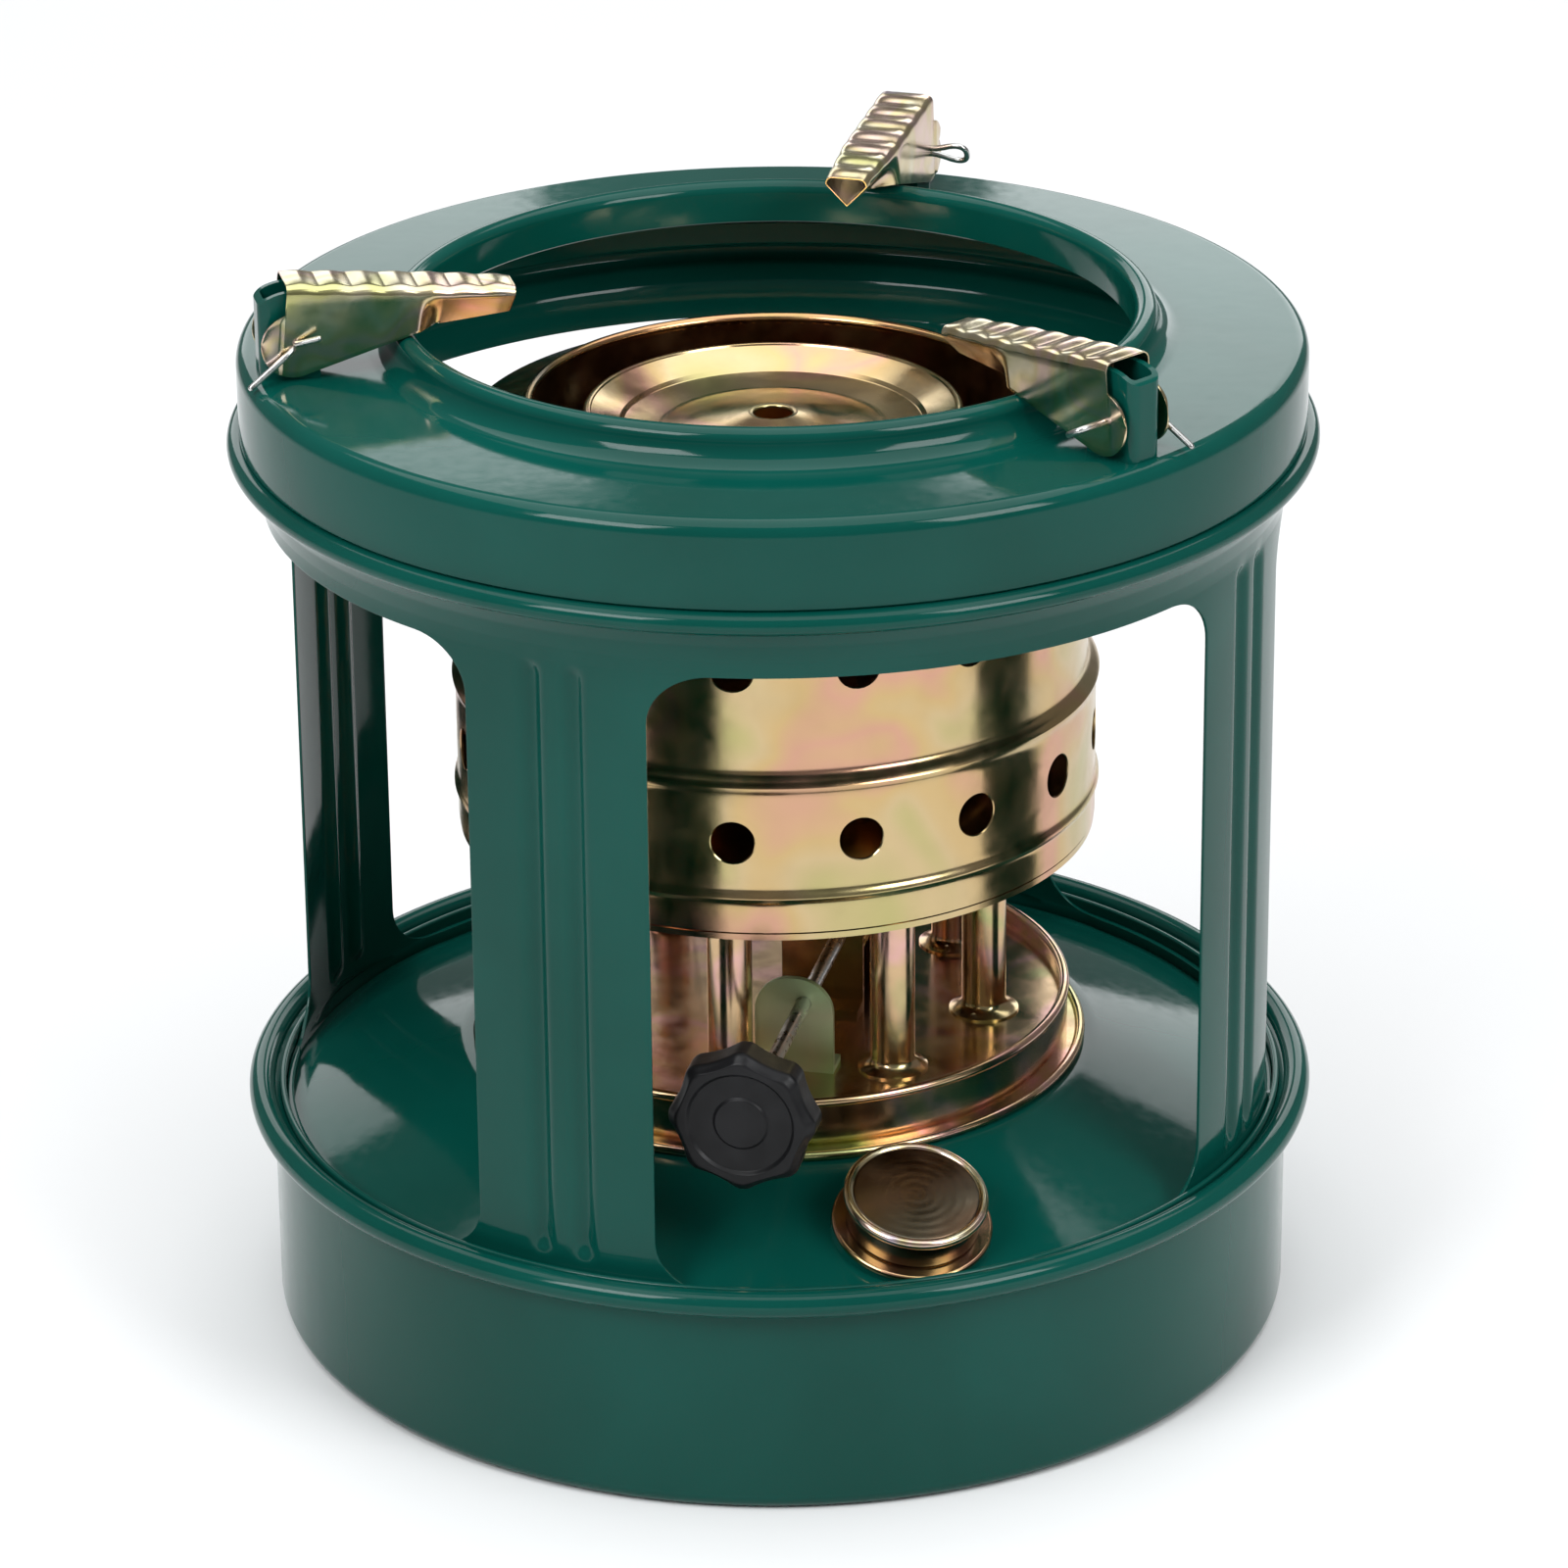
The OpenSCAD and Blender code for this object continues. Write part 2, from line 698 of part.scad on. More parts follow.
// A wedge with a flat top and a keel, from the nose's start to the tip.
module nose_wedge(w0, w1, deep0, deep1, top, x0, x1) {
    polyhedron(
        points = [
            [x0, -w0 / 2, top], [x0, w0 / 2, top], [x0, 0, web_h - deep0],
            [x1, -w1 / 2, top], [x1, w1 / 2, top], [x1, 0, web_h - deep1]
        ],
        faces = [[0, 1, 2], [3, 5, 4], [0, 3, 4, 1], [1, 4, 5, 2], [2, 5, 3, 0]]
    );
}

// The web seen from above: full width to the nose, then drawn in to the tip.
module web_outline() {
    polygon([
        [web_back, -channel_w / 2], [web_back, channel_w / 2], [-nose_reach, channel_w / 2],
        [-tip_reach, tip_w / 2], [-tip_reach, -tip_w / 2], [-nose_reach, -channel_w / 2]
    ]);
}

module pot_support(i) {
    web_top = web_h + channel_t;
    color(zinc) at_pivot(i) rotate([0, -web_tilt, 0]) difference() {
        union() {
            for (side = [-1, 1]) translate([0, side * (channel_w - channel_t) / 2, 0])
                upright(channel_t) support_wall();
            translate([0, 0, web_h]) linear_extrude(channel_t) web_outline();
            intersection() {
                translate([0, 0, web_h]) linear_extrude(channel_t + 2 * web_rib_r) web_outline();
                for (k = [0:web_ribs - 1])
                    translate([web_back - (k + 0.5) * rib_pitch, 0, web_top + web_rib_h - web_rib_r])
                        rotate([90, 0, 0]) cylinder(r = web_rib_r, h = 2 * channel_w, center = true);
            }
            difference() {
                nose_wedge(channel_w, tip_w, nose_deep, nose_shallow, web_h + channel_t / 2,
                    -nose_reach, -tip_reach);
                nose_wedge(inner_w, tip_w - 2 * channel_t, nose_deep - 2 * channel_t,
                    nose_shallow - 2 * channel_t, web_h, -nose_reach + eps, channel_t - tip_reach);
            }
        }
        rotate([90, 0, 0]) cylinder(r = pin_r + turn_gap, h = 2 * channel_w, center = true);
    }
}

module burner_base() {
    color(zinc) difference() {
        rotate_extrude() {
            band(base_r - base_t, base_flange_d / 2 - base_bead_r, seat_z, seat_z + base_t);
            translate([base_flange_d / 2 - base_bead_r, seat_z + base_bead_r]) circle(base_bead_r);
            band(base_r - base_t, base_r, seat_z, rim_z);
            translate([base_r - base_t / 2, rim_z]) circle(base_bead_r);
            band(0, base_r, floor_z, floor_up);
        }
        for (i = [1:wick_n]) at_tube(i) translate([0, 0, floor_z - eps])
            cylinder(r = tube_r + fixed_gap, h = base_t + 2 * eps);
        at_control() translate([rack_rear - side_gap, -rack_w / 2 - side_gap, floor_z - eps])
            cube([rack_x + addendum + side_gap * 2 - rack_rear, rack_w + 2 * side_gap, base_t + 2 * eps]);
    }
}

module wick_tube(i) {
    color(zinc) at_tube(i) difference() {
        union() {
            translate([0, 0, tube_low]) cylinder(r = tube_r, h = tube_high - tube_low);
            translate([0, 0, floor_up])
                cylinder(r1 = tube_collar_d / 2, r2 = tube_r, h = tube_collar_h);
        }
        translate([0, 0, tube_low - eps]) cylinder(r = tube_bore, h = tube_high - tube_low + 2 * eps);
    }
}

module wick(i) {
    color("ivory") at_tube(i) translate([0, 0, wick_low]) cylinder(r = wick_r, h = tube_high - wick_low);
}

module tube_plate() {
    color(zinc) difference() {
        translate([0, 0, burner_z - base_t]) ring(plate_r, plate_hole_d / 2, base_t);
        for (i = [1:wick_n]) at_tube(i) translate([0, 0, burner_z - base_t - eps])
            cylinder(r = tube_r + fixed_gap, h = base_t + 2 * eps);
    }
}

// Radial cutters for a row of round holes through a shell of radius r.
module hole_row(n, az, z, d, r) {
    for (k = [0:n - 1]) at_azimuth(az + k * 360 / n) translate([0, 0, z]) rotate([90, 0, 0])
        translate([0, 0, r - 4]) cylinder(d = d, h = 8);
}

module outer_drum() {
    color(zinc) difference() {
        rotate_extrude() difference() {
            union() {
                band(drum_low_r - shell_t, drum_low_r, shell_z, step_z);
                translate([drum_low_r - shell_t / 2, burner_z + drum_bead_h]) circle(shell_t * 1.4);
                translate([drum_high_r - shell_t / 2, step_z]) circle(step_r);
                band(drum_high_r - shell_t, drum_high_r, step_z, shoulder_z);
                polygon([
                    [drum_high_r - shell_t, shoulder_z - shell_t], [drum_high_r, shoulder_z - shell_t],
                    [drum_high_r - 2 * shell_t, shoulder_z + 2 * shell_t],
                    [annulus_r, flame_lip_z - lip_bead_r], [annulus_r, flame_lip_z - lip_bead_r - shell_t],
                    [drum_high_r - 3 * shell_t, shoulder_z + shell_t]
                ]);
            }
            band(0, drum_high_r - shell_t, shell_z, step_z + step_r);
        }
        hole_row(air_hole_n, air_hole_az, burner_z + low_holes_h, air_hole_d, drum_low_r);
        hole_row(air_hole_n, air_hole_az, burner_z + high_holes_h, air_hole_d, drum_high_r);
    }
}

// Rows of small holes, each row turned by half a pitch against the next.
module pores(r) {
    for (row = [0:pore_rows - 1])
        hole_row(pore_n, (row % 2) * 180 / pore_n, burner_z + pore_low + row * pore_pitch, pore_d, r);
}

module outer_sleeve() {
    color(zinc) difference() {
        rotate_extrude() {
            band(outer_sleeve_r, sleeve_out, shell_z, flame_lip_z);
            translate([sleeve_out, flame_lip_z]) circle(lip_bead_r);
        }
        pores(sleeve_out);
    }
}

module inner_sleeve() {
    color(zinc) difference() {
        translate([0, 0, shell_z]) ring(inner_sleeve_r, inner_sleeve_r - shell_t, dish_z - shell_z);
        pores(inner_sleeve_r);
    }
}

module flame_dish() {
    rim = dish_z + dish_wall;
    low = rim - dish_deep;
    step = low + dish_step_z;
    half = dish_step_h / 2;
    rim_r = inner_sleeve_r - dish_bead_r;
    slope = [
        [rim_r, rim], [dish_step_r + half, step + half], [dish_step_r - half, step - half],
        [dish_groove_r, low], [dish_hole_d / 2, low + dish_crown]
    ];
    under = [for (k = [len(slope) - 1:-1:0]) slope[k] - [0, shell_t]];
    color(zinc) rotate_extrude() {
        polygon(concat(slope, under));
        translate([rim_r, rim]) circle(dish_bead_r);
        band(inner_sleeve_r - shell_t, inner_sleeve_r, dish_z, rim);
    }
}

module guide_plate() {
    mid = shaft_off + guide_shift;
    color(zinc) at_control() difference() {
        union() {
            translate([mid, -guide_y, floor_up]) rotate([90, 0, 0]) linear_extrude(bracket_sheet) union() {
                translate([-guide_w / 2, 0]) square([guide_w, guide_h - guide_r]);
                translate([0, guide_h / 2]) soft_rectangle(guide_w, guide_h, guide_r);
            }
            translate([mid - guide_w / 2, -guide_y, floor_up]) cube([guide_w, foot_reach, bracket_sheet]);
        }
        on_shaft(shaft_r + turn_gap, guide_y - eps, guide_y + bracket_sheet + eps);
    }
}

module gear_bracket() {
    rear = rack_rear - side_gap - bracket_sheet;
    front = shaft_off + pitch_r;
    color(zinc) at_control() difference() {
        union() {
            translate([rear, -cheek_out, floor_up]) cube([front - rear, 2 * cheek_out, gear_bracket_h]);
            translate([rear, -cheek_out - foot_reach, floor_up])
                cube([front - rear, 2 * (cheek_out + foot_reach), bracket_sheet]);
        }
        translate([rear + bracket_sheet, -cheek_in, floor_up - eps])
            cube([front, 2 * cheek_in, gear_bracket_h + 2 * eps]);
        on_shaft(shaft_r + turn_gap, -cheek_out - eps, cheek_out + eps);
    }
}

module control_shaft() {
    color(steel) at_control() on_shaft(shaft_r, -shaft_in, bush_y);
}

// The involute of a base circle at roll angle a, in degrees.
function involute(base, a) = base * [cos(a) + a * PI / 180 * sin(a), sin(a) - a * PI / 180 * cos(a)];

// The roll angle at which the involute reaches radius r.
function roll_at(base, r) = sqrt(pow(r / base, 2) - 1) * 180 / PI;

// The points of one pinion tooth, root to root, about the +X axis.
function tooth_points() =
    let (
        base = pitch_r * cos(pressure),
        root = pitch_r - dedendum,
        tip = pitch_r + addendum,
        start = roll_at(base, pitch_r),
        at_pitch = involute(base, start),
        half = 90 / pinion_n - backlash / 4 / pitch_r * 180 / PI + atan2(at_pitch[1], at_pitch[0]),
        steps = 6,
        flank = [for (k = [0:steps]) involute(base, roll_at(base, tip) * k / steps)],
        side = [for (p = flank) [p[0] * cos(half) + p[1] * sin(half), p[0] * sin(half) - p[1] * cos(half)]]
    )
    concat(
        [[root * cos(half), -root * sin(half)]],
        [for (p = side) [p[0], -p[1]]],
        [for (k = [0:steps]) side[steps - k]],
        [[root * cos(half), root * sin(half)]]
    );

function turned(p, a) = [p[0] * cos(a) - p[1] * sin(a), p[0] * sin(a) + p[1] * cos(a)];

module pinion_outline() {
    tooth = tooth_points();
    polygon([
        for (k = [0:pinion_n - 1])
            for (p = tooth) turned(p, (k + 0.5) * 360 / pinion_n)
    ]);
}

module pinion() {
    color(brass) at_control() difference() {
        translate([shaft_off, pinion_w / 2, shaft_z]) rotate([90, 0, 0])
            linear_extrude(pinion_w) pinion_outline();
        on_shaft(shaft_r + fixed_gap, -pinion_w, pinion_w);
    }
}

// The rack's outline in its own plane, teeth towards +X, one tooth at the shaft's height.
module rack_outline() {
    half = rack_pitch / 4 - backlash / 4;
    rise = tan(pressure);
    teeth_down = ceil((wick_travel + rack_top) / rack_pitch);
    teeth_up = floor(rack_top / rack_pitch - 0.5);
    translate([rack_rear, rack_low]) square([rack_back, rack_high - rack_low]);
    for (k = [-teeth_down:teeth_up]) translate([rack_x, shaft_z + k * rack_pitch])
        polygon([
            [-dedendum - eps, -half - dedendum * rise], [-dedendum, -half - dedendum * rise],
            [addendum, -half + addendum * rise], [addendum, half - addendum * rise],
            [-dedendum, half + dedendum * rise], [-dedendum - eps, half + dedendum * rise]
        ]);
}

module lifter_rack() {
    color(brass) at_control() translate([0, rack_w / 2, 0]) rotate([90, 0, 0])
        linear_extrude(rack_w) rack_outline();
}

module carrier_disc() {
    color(steel) difference() {
        translate([0, 0, carrier_z]) ring(carrier_r, 2, carrier_t);
        for (i = [1:wick_n]) at_tube(i) translate([0, 0, carrier_z - eps])
            cylinder(r = wick_r + fixed_gap, h = carrier_t + 2 * eps);
    }
}

module control_knob() {
    color("black") at_control() difference() {
        on_shaft(knob_d / 2, knob_back, knob_face);
        on_shaft(bush_r + fixed_gap, knob_back - eps, bush_y + fixed_gap);
        translate([shaft_off, 0, shaft_z]) for (k = [0:knob_flutes - 1])
            rotate([0, (k + 0.5) * 360 / knob_flutes, 0])
                translate([knob_d / 2 + flute_r - flute_depth, 0, 0]) rotate([90, 0, 0])
                    translate([0, 0, knob_back - eps]) cylinder(r = flute_r, h = knob_depth + 2 * eps);
    }
}

// A round bar across the shaft, pointing to -X, from distance d0 to d1.
module screw_bar(r, d0, d1) {
    translate([shaft_off - d0, 0, shaft_z]) rotate([0, -90, 0]) cylinder(r = r, h = d1 - d0);
}

module knob_bush() {
    color(brass) at_control() difference() {
        on_shaft(bush_r, bush_back, bush_y);
        on_shaft(shaft_r + fixed_gap, bush_back - eps, bush_y + eps);
        translate([0, -screw_y, 0]) screw_bar(screw_r + fixed_gap, 0, bush_r + eps);
    }
}

module knob_screw() {
    color(brass) at_control() translate([0, -screw_y, 0]) difference() {
        union() {
            screw_bar(screw_r, shaft_r + fixed_gap, bush_r + screw_out);
            screw_bar(1.4 * screw_r, bush_r + fixed_gap, bush_r + screw_out);
        }
        translate([shaft_off - bush_r - screw_out - eps, -2 * screw_r, shaft_z - screw_r / 4])
            cube([eps + screw_out / 2, 4 * screw_r, screw_r / 2]);
    }
}

tank_pan();
tank_top();
filler_neck();
filler_cap();
cap_seal();
leg_frame();
burner_base();
tube_plate();
guide_plate();
gear_bracket();
top_ring();
control_shaft();
pinion();
control_knob();
knob_bush();
knob_screw();
lifter_rack();
carrier_disc();
outer_drum();
outer_sleeve();
inner_sleeve();
flame_dish();
for (i = [1:support_n]) {
    bracket(i);
    split_pin(i);
    pot_support(i);
}
for (i = [1:wick_n]) {
    wick_tube(i);
    wick(i);
}
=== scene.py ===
"""Looks of a tabletop kerosene wick stove: sheet-metal surfaces, finishes, studio light and camera."""

import logging
import math
from dataclasses import dataclass
from enum import Enum
from typing import Optional, Sequence

import bmesh
import bpy
import numpy as np
from mathutils import Matrix


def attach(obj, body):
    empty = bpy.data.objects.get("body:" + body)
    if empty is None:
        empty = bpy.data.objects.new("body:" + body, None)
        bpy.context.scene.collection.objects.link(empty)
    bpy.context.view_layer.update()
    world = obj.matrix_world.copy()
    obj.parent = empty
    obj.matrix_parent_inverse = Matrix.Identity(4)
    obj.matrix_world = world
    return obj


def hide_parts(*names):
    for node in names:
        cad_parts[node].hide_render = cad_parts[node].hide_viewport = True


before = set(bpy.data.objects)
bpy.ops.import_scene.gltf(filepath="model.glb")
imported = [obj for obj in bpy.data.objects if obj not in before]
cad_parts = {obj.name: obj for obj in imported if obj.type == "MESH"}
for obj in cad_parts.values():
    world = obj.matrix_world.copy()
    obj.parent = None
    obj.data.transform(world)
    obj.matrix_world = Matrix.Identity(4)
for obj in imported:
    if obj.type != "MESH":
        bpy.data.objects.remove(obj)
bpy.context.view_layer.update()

MM = 0.001
TURN = 2.0 * math.pi
ARC_STEP = math.radians(12.0)  # turn from point to point on a rounded corner
SIDE_SHARE = 0.49  # the most of a side that one rounded corner takes
WELD = 2e-6  # points nearer than this, in metres, are one
SLIVER = 1e-7  # edges shorter than this, in metres, are taken out
BEVEL_TURN = math.radians(50.0)  # cut edges that turn more than this are rounded
NOISE_SPAN = (0.3, 0.7)  # the part of a noise factor that is spread out
LOG = logging.getLogger("stove")

Pair = tuple[float, float]
Triple = tuple[float, float, float]
RGB = Triple
Material = bpy.types.Material
Socket = bpy.types.NodeSocket


class Slot(Enum):
    """The record's material slots."""

    ENAMEL = "green_enamel"
    ZINC = "yellow_zinc"
    STEEL = "steel"
    BRASS = "brass"
    PLASTIC = "black_plastic"
    RUBBER = "rubber"
    COTTON = "cotton_wick"


class Body(Enum):
    """The bodies of the CAD part that pieces ride on."""

    TANK = "tank"
    TOP_RING = "top_ring"
    CONTROL = "control"
    WICK_LIFTER = "wick_lifter"
    OUTER_BURNER = "outer_burner"
    INNER_BURNER = "inner_burner"
    FILLER_CAP = "filler_cap"


@dataclass
class Surface:
    """Points in millimetres, and quads that index them."""

    points: np.ndarray
    quads: np.ndarray

    def __add__(self, other: "Surface") -> "Surface":
        """Both surfaces as one, with the second one's indices moved on."""
        return Surface(
            np.vstack([self.points, other.points]),
            np.vstack([self.quads, other.quads + len(self.points)]),
        )

    def placed(self, place: np.ndarray) -> "Surface":
        """The surface carried by a 4 x 4 matrix in millimetres, with the same quads."""
        return Surface(self.points @ place[:3, :3].T + place[:3, 3], self.quads)


def turn_about(axis: str, degrees: float) -> np.ndarray:
    """A 4 x 4 rotation about the axis "X", "Y" or "Z", right-handed."""
    return np.array(Matrix.Rotation(math.radians(degrees), 4, axis))


def shift(x: float, y: float, z: float) -> np.ndarray:
    """A 4 x 4 translation in millimetres."""
    return np.array(Matrix.Translation((x, y, z)))


def ease(low: float, high: float, value: np.ndarray) -> np.ndarray:
    """Goes from 0 at low to 1 at high along 3t^2 - 2t^3, flat at both ends."""
    t = np.clip((np.asarray(value, float) - low) / (high - low), 0.0, 1.0)
    return t * t * (3.0 - 2.0 * t)


def grid_surface(
    points: np.ndarray,
    close_rows: bool = False,
    close_cols: bool = False,
    keep: Optional[np.ndarray] = None,
) -> Surface:
    """Quads over a grid of points.

    Each joins a point, its neighbours along both parameters, and the one across.

    Args:
        points: an array of rows x columns x 3.
        close_rows: whether the last row joins the first.
        close_cols: whether the last column joins the first.
        keep: rows x columns of booleans, one per quad, for windows in the sheet.

    Returns:
        The surface.
    """
    rows, cols = points.shape[:2]
    index = np.arange(rows * cols).reshape(rows, cols)
    index = np.vstack([index, index[:1]]) if close_rows else index
    index = np.hstack([index, index[:, :1]]) if close_cols else index
    quads = np.stack([index[:-1, :-1], index[:-1, 1:], index[1:, 1:], index[1:, :-1]], -1)
    quads = quads[keep] if keep is not None else quads.reshape(-1, 4)
    return Surface(points.reshape(-1, 3), quads.reshape(-1, 4))


def rounded(*corners: Triple, closed: bool = True) -> np.ndarray:
    """A polyline whose corners are arcs.

    Each arc touches both of its sides at r times the cotangent of half the corner.

    Args:
        corners: (x, y, corner radius) in order.
        closed: whether the last corner joins the first.

    Returns:
        An array of points, n x 2.
    """
    pts = np.array([c[:2] for c in corners], float)
    radii = np.array([c[2] for c in corners], float)
    out: list[np.ndarray] = []
    count = len(pts)
    for i in range(count):
        if radii[i] <= 0 or (not closed and i in (0, count - 1)):
            out.append(pts[i : i + 1])
            continue
        back, ahead = pts[i - 1] - pts[i], pts[(i + 1) % count] - pts[i]
        lb, la = np.linalg.norm(back), np.linalg.norm(ahead)
        back, ahead = back / lb, ahead / la
        corner = math.acos(float(np.clip(back @ ahead, -1, 1)))
        reach = min(radii[i] / math.tan(corner / 2), SIDE_SHARE * lb, SIDE_SHARE * la)
        radius = reach * math.tan(corner / 2)
        middle = pts[i] + (back + ahead) / np.linalg.norm(back + ahead) * radius / math.sin(corner / 2)
        start, end = pts[i] + back * reach - middle, pts[i] + ahead * reach - middle
        sweep = math.pi - corner
        steps = max(3, int(sweep / ARC_STEP) + 2)
        t = np.linspace(0, 1, steps)[:, None] * sweep
        out.append(middle + (np.sin(sweep - t) * start + np.sin(t) * end) / math.sin(sweep))
    return np.vstack(out)


def arc(x: float, y: float, r: float, first: float, last: float, steps: int) -> np.ndarray:
    """Points on a circle about (x, y) from one angle in degrees to another."""
    a = np.radians(np.linspace(first, last, steps))
    return np.stack([x + r * np.cos(a), y + r * np.sin(a)], -1)


def lathe(outline: np.ndarray, steps: int = 192, closed: bool = True) -> Surface:
    """An outline of (radius, height) turned about +Z: (R sin a, -R cos a, z) for each angle a.

    Args:
        outline: n x 2 points.
        steps: points round the turn.
        closed: whether the outline is a loop.

    Returns:
        The surface.
    """
    a = np.arange(steps) * TURN / steps
    r, z = outline[:, :1], np.repeat(outline[:, 1:], steps, 1)
    return grid_surface(np.stack([r * np.sin(a), -r * np.cos(a), z], -1), closed, True)


def tube(path: np.ndarray, radius: float, normal: Sequence[float], sides: int = 14) -> Surface:
    """A round section carried along a path, with round ends.

    The section lies across the path's direction; near an end its radius falls as on a sphere.

    Args:
        path: n x 3 points.
        radius: the section's radius.
        normal: a direction that the path never runs along.
        sides: points round the section.

    Returns:
        The surface.
    """
    ends = radius * (1.0 - np.cos(np.linspace(0, math.pi / 2, 6)[:-1]))
    first = path[0] - path[1]
    last = path[-1] - path[-2]
    first, last = first / np.linalg.norm(first), last / np.linalg.norm(last)
    cap = (radius - ends)[:, None]
    path = np.vstack([path[0] + first * cap, path, (path[-1] + last * cap)[::-1]])
    round_end = np.sqrt(np.clip(radius**2 - (radius - ends) ** 2, 0, None))
    r = np.concatenate([round_end, np.full(len(path) - 2 * len(ends), radius), round_end[::-1]])
    along = np.gradient(path, axis=0)
    along /= np.linalg.norm(along, axis=1, keepdims=True)
    side = np.cross(along, np.asarray(normal, float))
    side /= np.linalg.norm(side, axis=1, keepdims=True)
    up = np.cross(side, along)
    a = np.arange(sides) * TURN / sides
    ring = np.cos(a)[None, :, None] * side[:, None] + np.sin(a)[None, :, None] * up[:, None]
    return grid_surface(path[:, None] + ring * r[:, None, None], False, True)


def softened(path: np.ndarray, rounds: int = 3) -> np.ndarray:
    """A polyline with its corners cut at a quarter and three quarters of each side, several times over."""
    for _ in range(rounds):
        cut = np.stack([0.75 * path[:-1] + 0.25 * path[1:], 0.25 * path[:-1] + 0.75 * path[1:]], 1)
        path = np.vstack([path[:1], cut.reshape(-1, 3), path[-1:]])
    return path


@dataclass(frozen=True)
class PerforatedBand:
    """A sheet cylinder with one row of round holes, each hole in the middle of its own cell."""

    radius: float
    sheet: float
    low: float
    high: float
    holes: int
    hole_d: float
    first_az: float
    side_steps: int = 8
    edge: float = 0.18

    @property
    def columns(self) -> int:
        """Points round the band's edges."""
        return self.holes * self.side_steps

    @property
    def start(self) -> float:
        """The angle of the first column, at the side of the first cell."""
        return math.radians(self.first_az - 180.0 / self.holes)

    def surface(self) -> Surface:
        """Each cell runs from its rectangle to its hole along straight lines, over the edge and back inside.

        Returns:
            The outer sheet, the hole walls and the inner sheet, open at the band's two edges.
        """
        n = self.side_steps
        t = np.linspace(-1, 1, n + 1)[:-1]
        one = np.ones(n)
        u = np.concatenate([t, one, -t, -one])
        v = np.concatenate([-one, t, one, -t])
        angle = np.arctan2(v, u)
        half_w, half_h = math.pi / self.holes, (self.high - self.low) / 2
        rect = np.stack([u * half_w * self.radius, v * half_h], -1)
        way = np.stack([np.cos(angle), np.sin(angle)], -1)
        hole, rim = way * self.hole_d / 2, way * (self.hole_d / 2 + self.edge)
        rows = [(rect, 0.0), (0.5 * rect + 0.5 * rim, 0.0), (0.15 * rect + 0.85 * rim, 0.0), (rim, 0.0)]
        rows += [(hole, self.edge), (hole, self.sheet - self.edge)]
        rows += [(flat, self.sheet) for flat, _ in rows[3::-1]]
        flat = np.stack([row for row, _ in rows])
        depth = np.array([d for _, d in rows])[:, None]
        az = np.radians(self.first_az) + np.arange(self.holes)[:, None, None] * TURN / self.holes
        a = az + flat[None, ..., 0] / self.radius
        r = np.broadcast_to(self.radius - depth, a.shape)
        z = np.broadcast_to((self.low + self.high) / 2 + flat[..., 1], a.shape)
        cells = np.stack([r * np.sin(a), -r * np.cos(a), z], -1)
        one_cell = grid_surface(cells[0], False, True)
        offsets = np.arange(self.holes)[:, None, None] * len(one_cell.points)
        return Surface(cells.reshape(-1, 3), (one_cell.quads[None] + offsets).reshape(-1, 4))

    def joining(self, outline: np.ndarray) -> Surface:
        """An open outline of (radius, height) turned about +Z with its columns on the band's own."""
        turned = lathe(outline, self.columns, False)
        return turned.placed(turn_about("Z", math.degrees(self.start)))


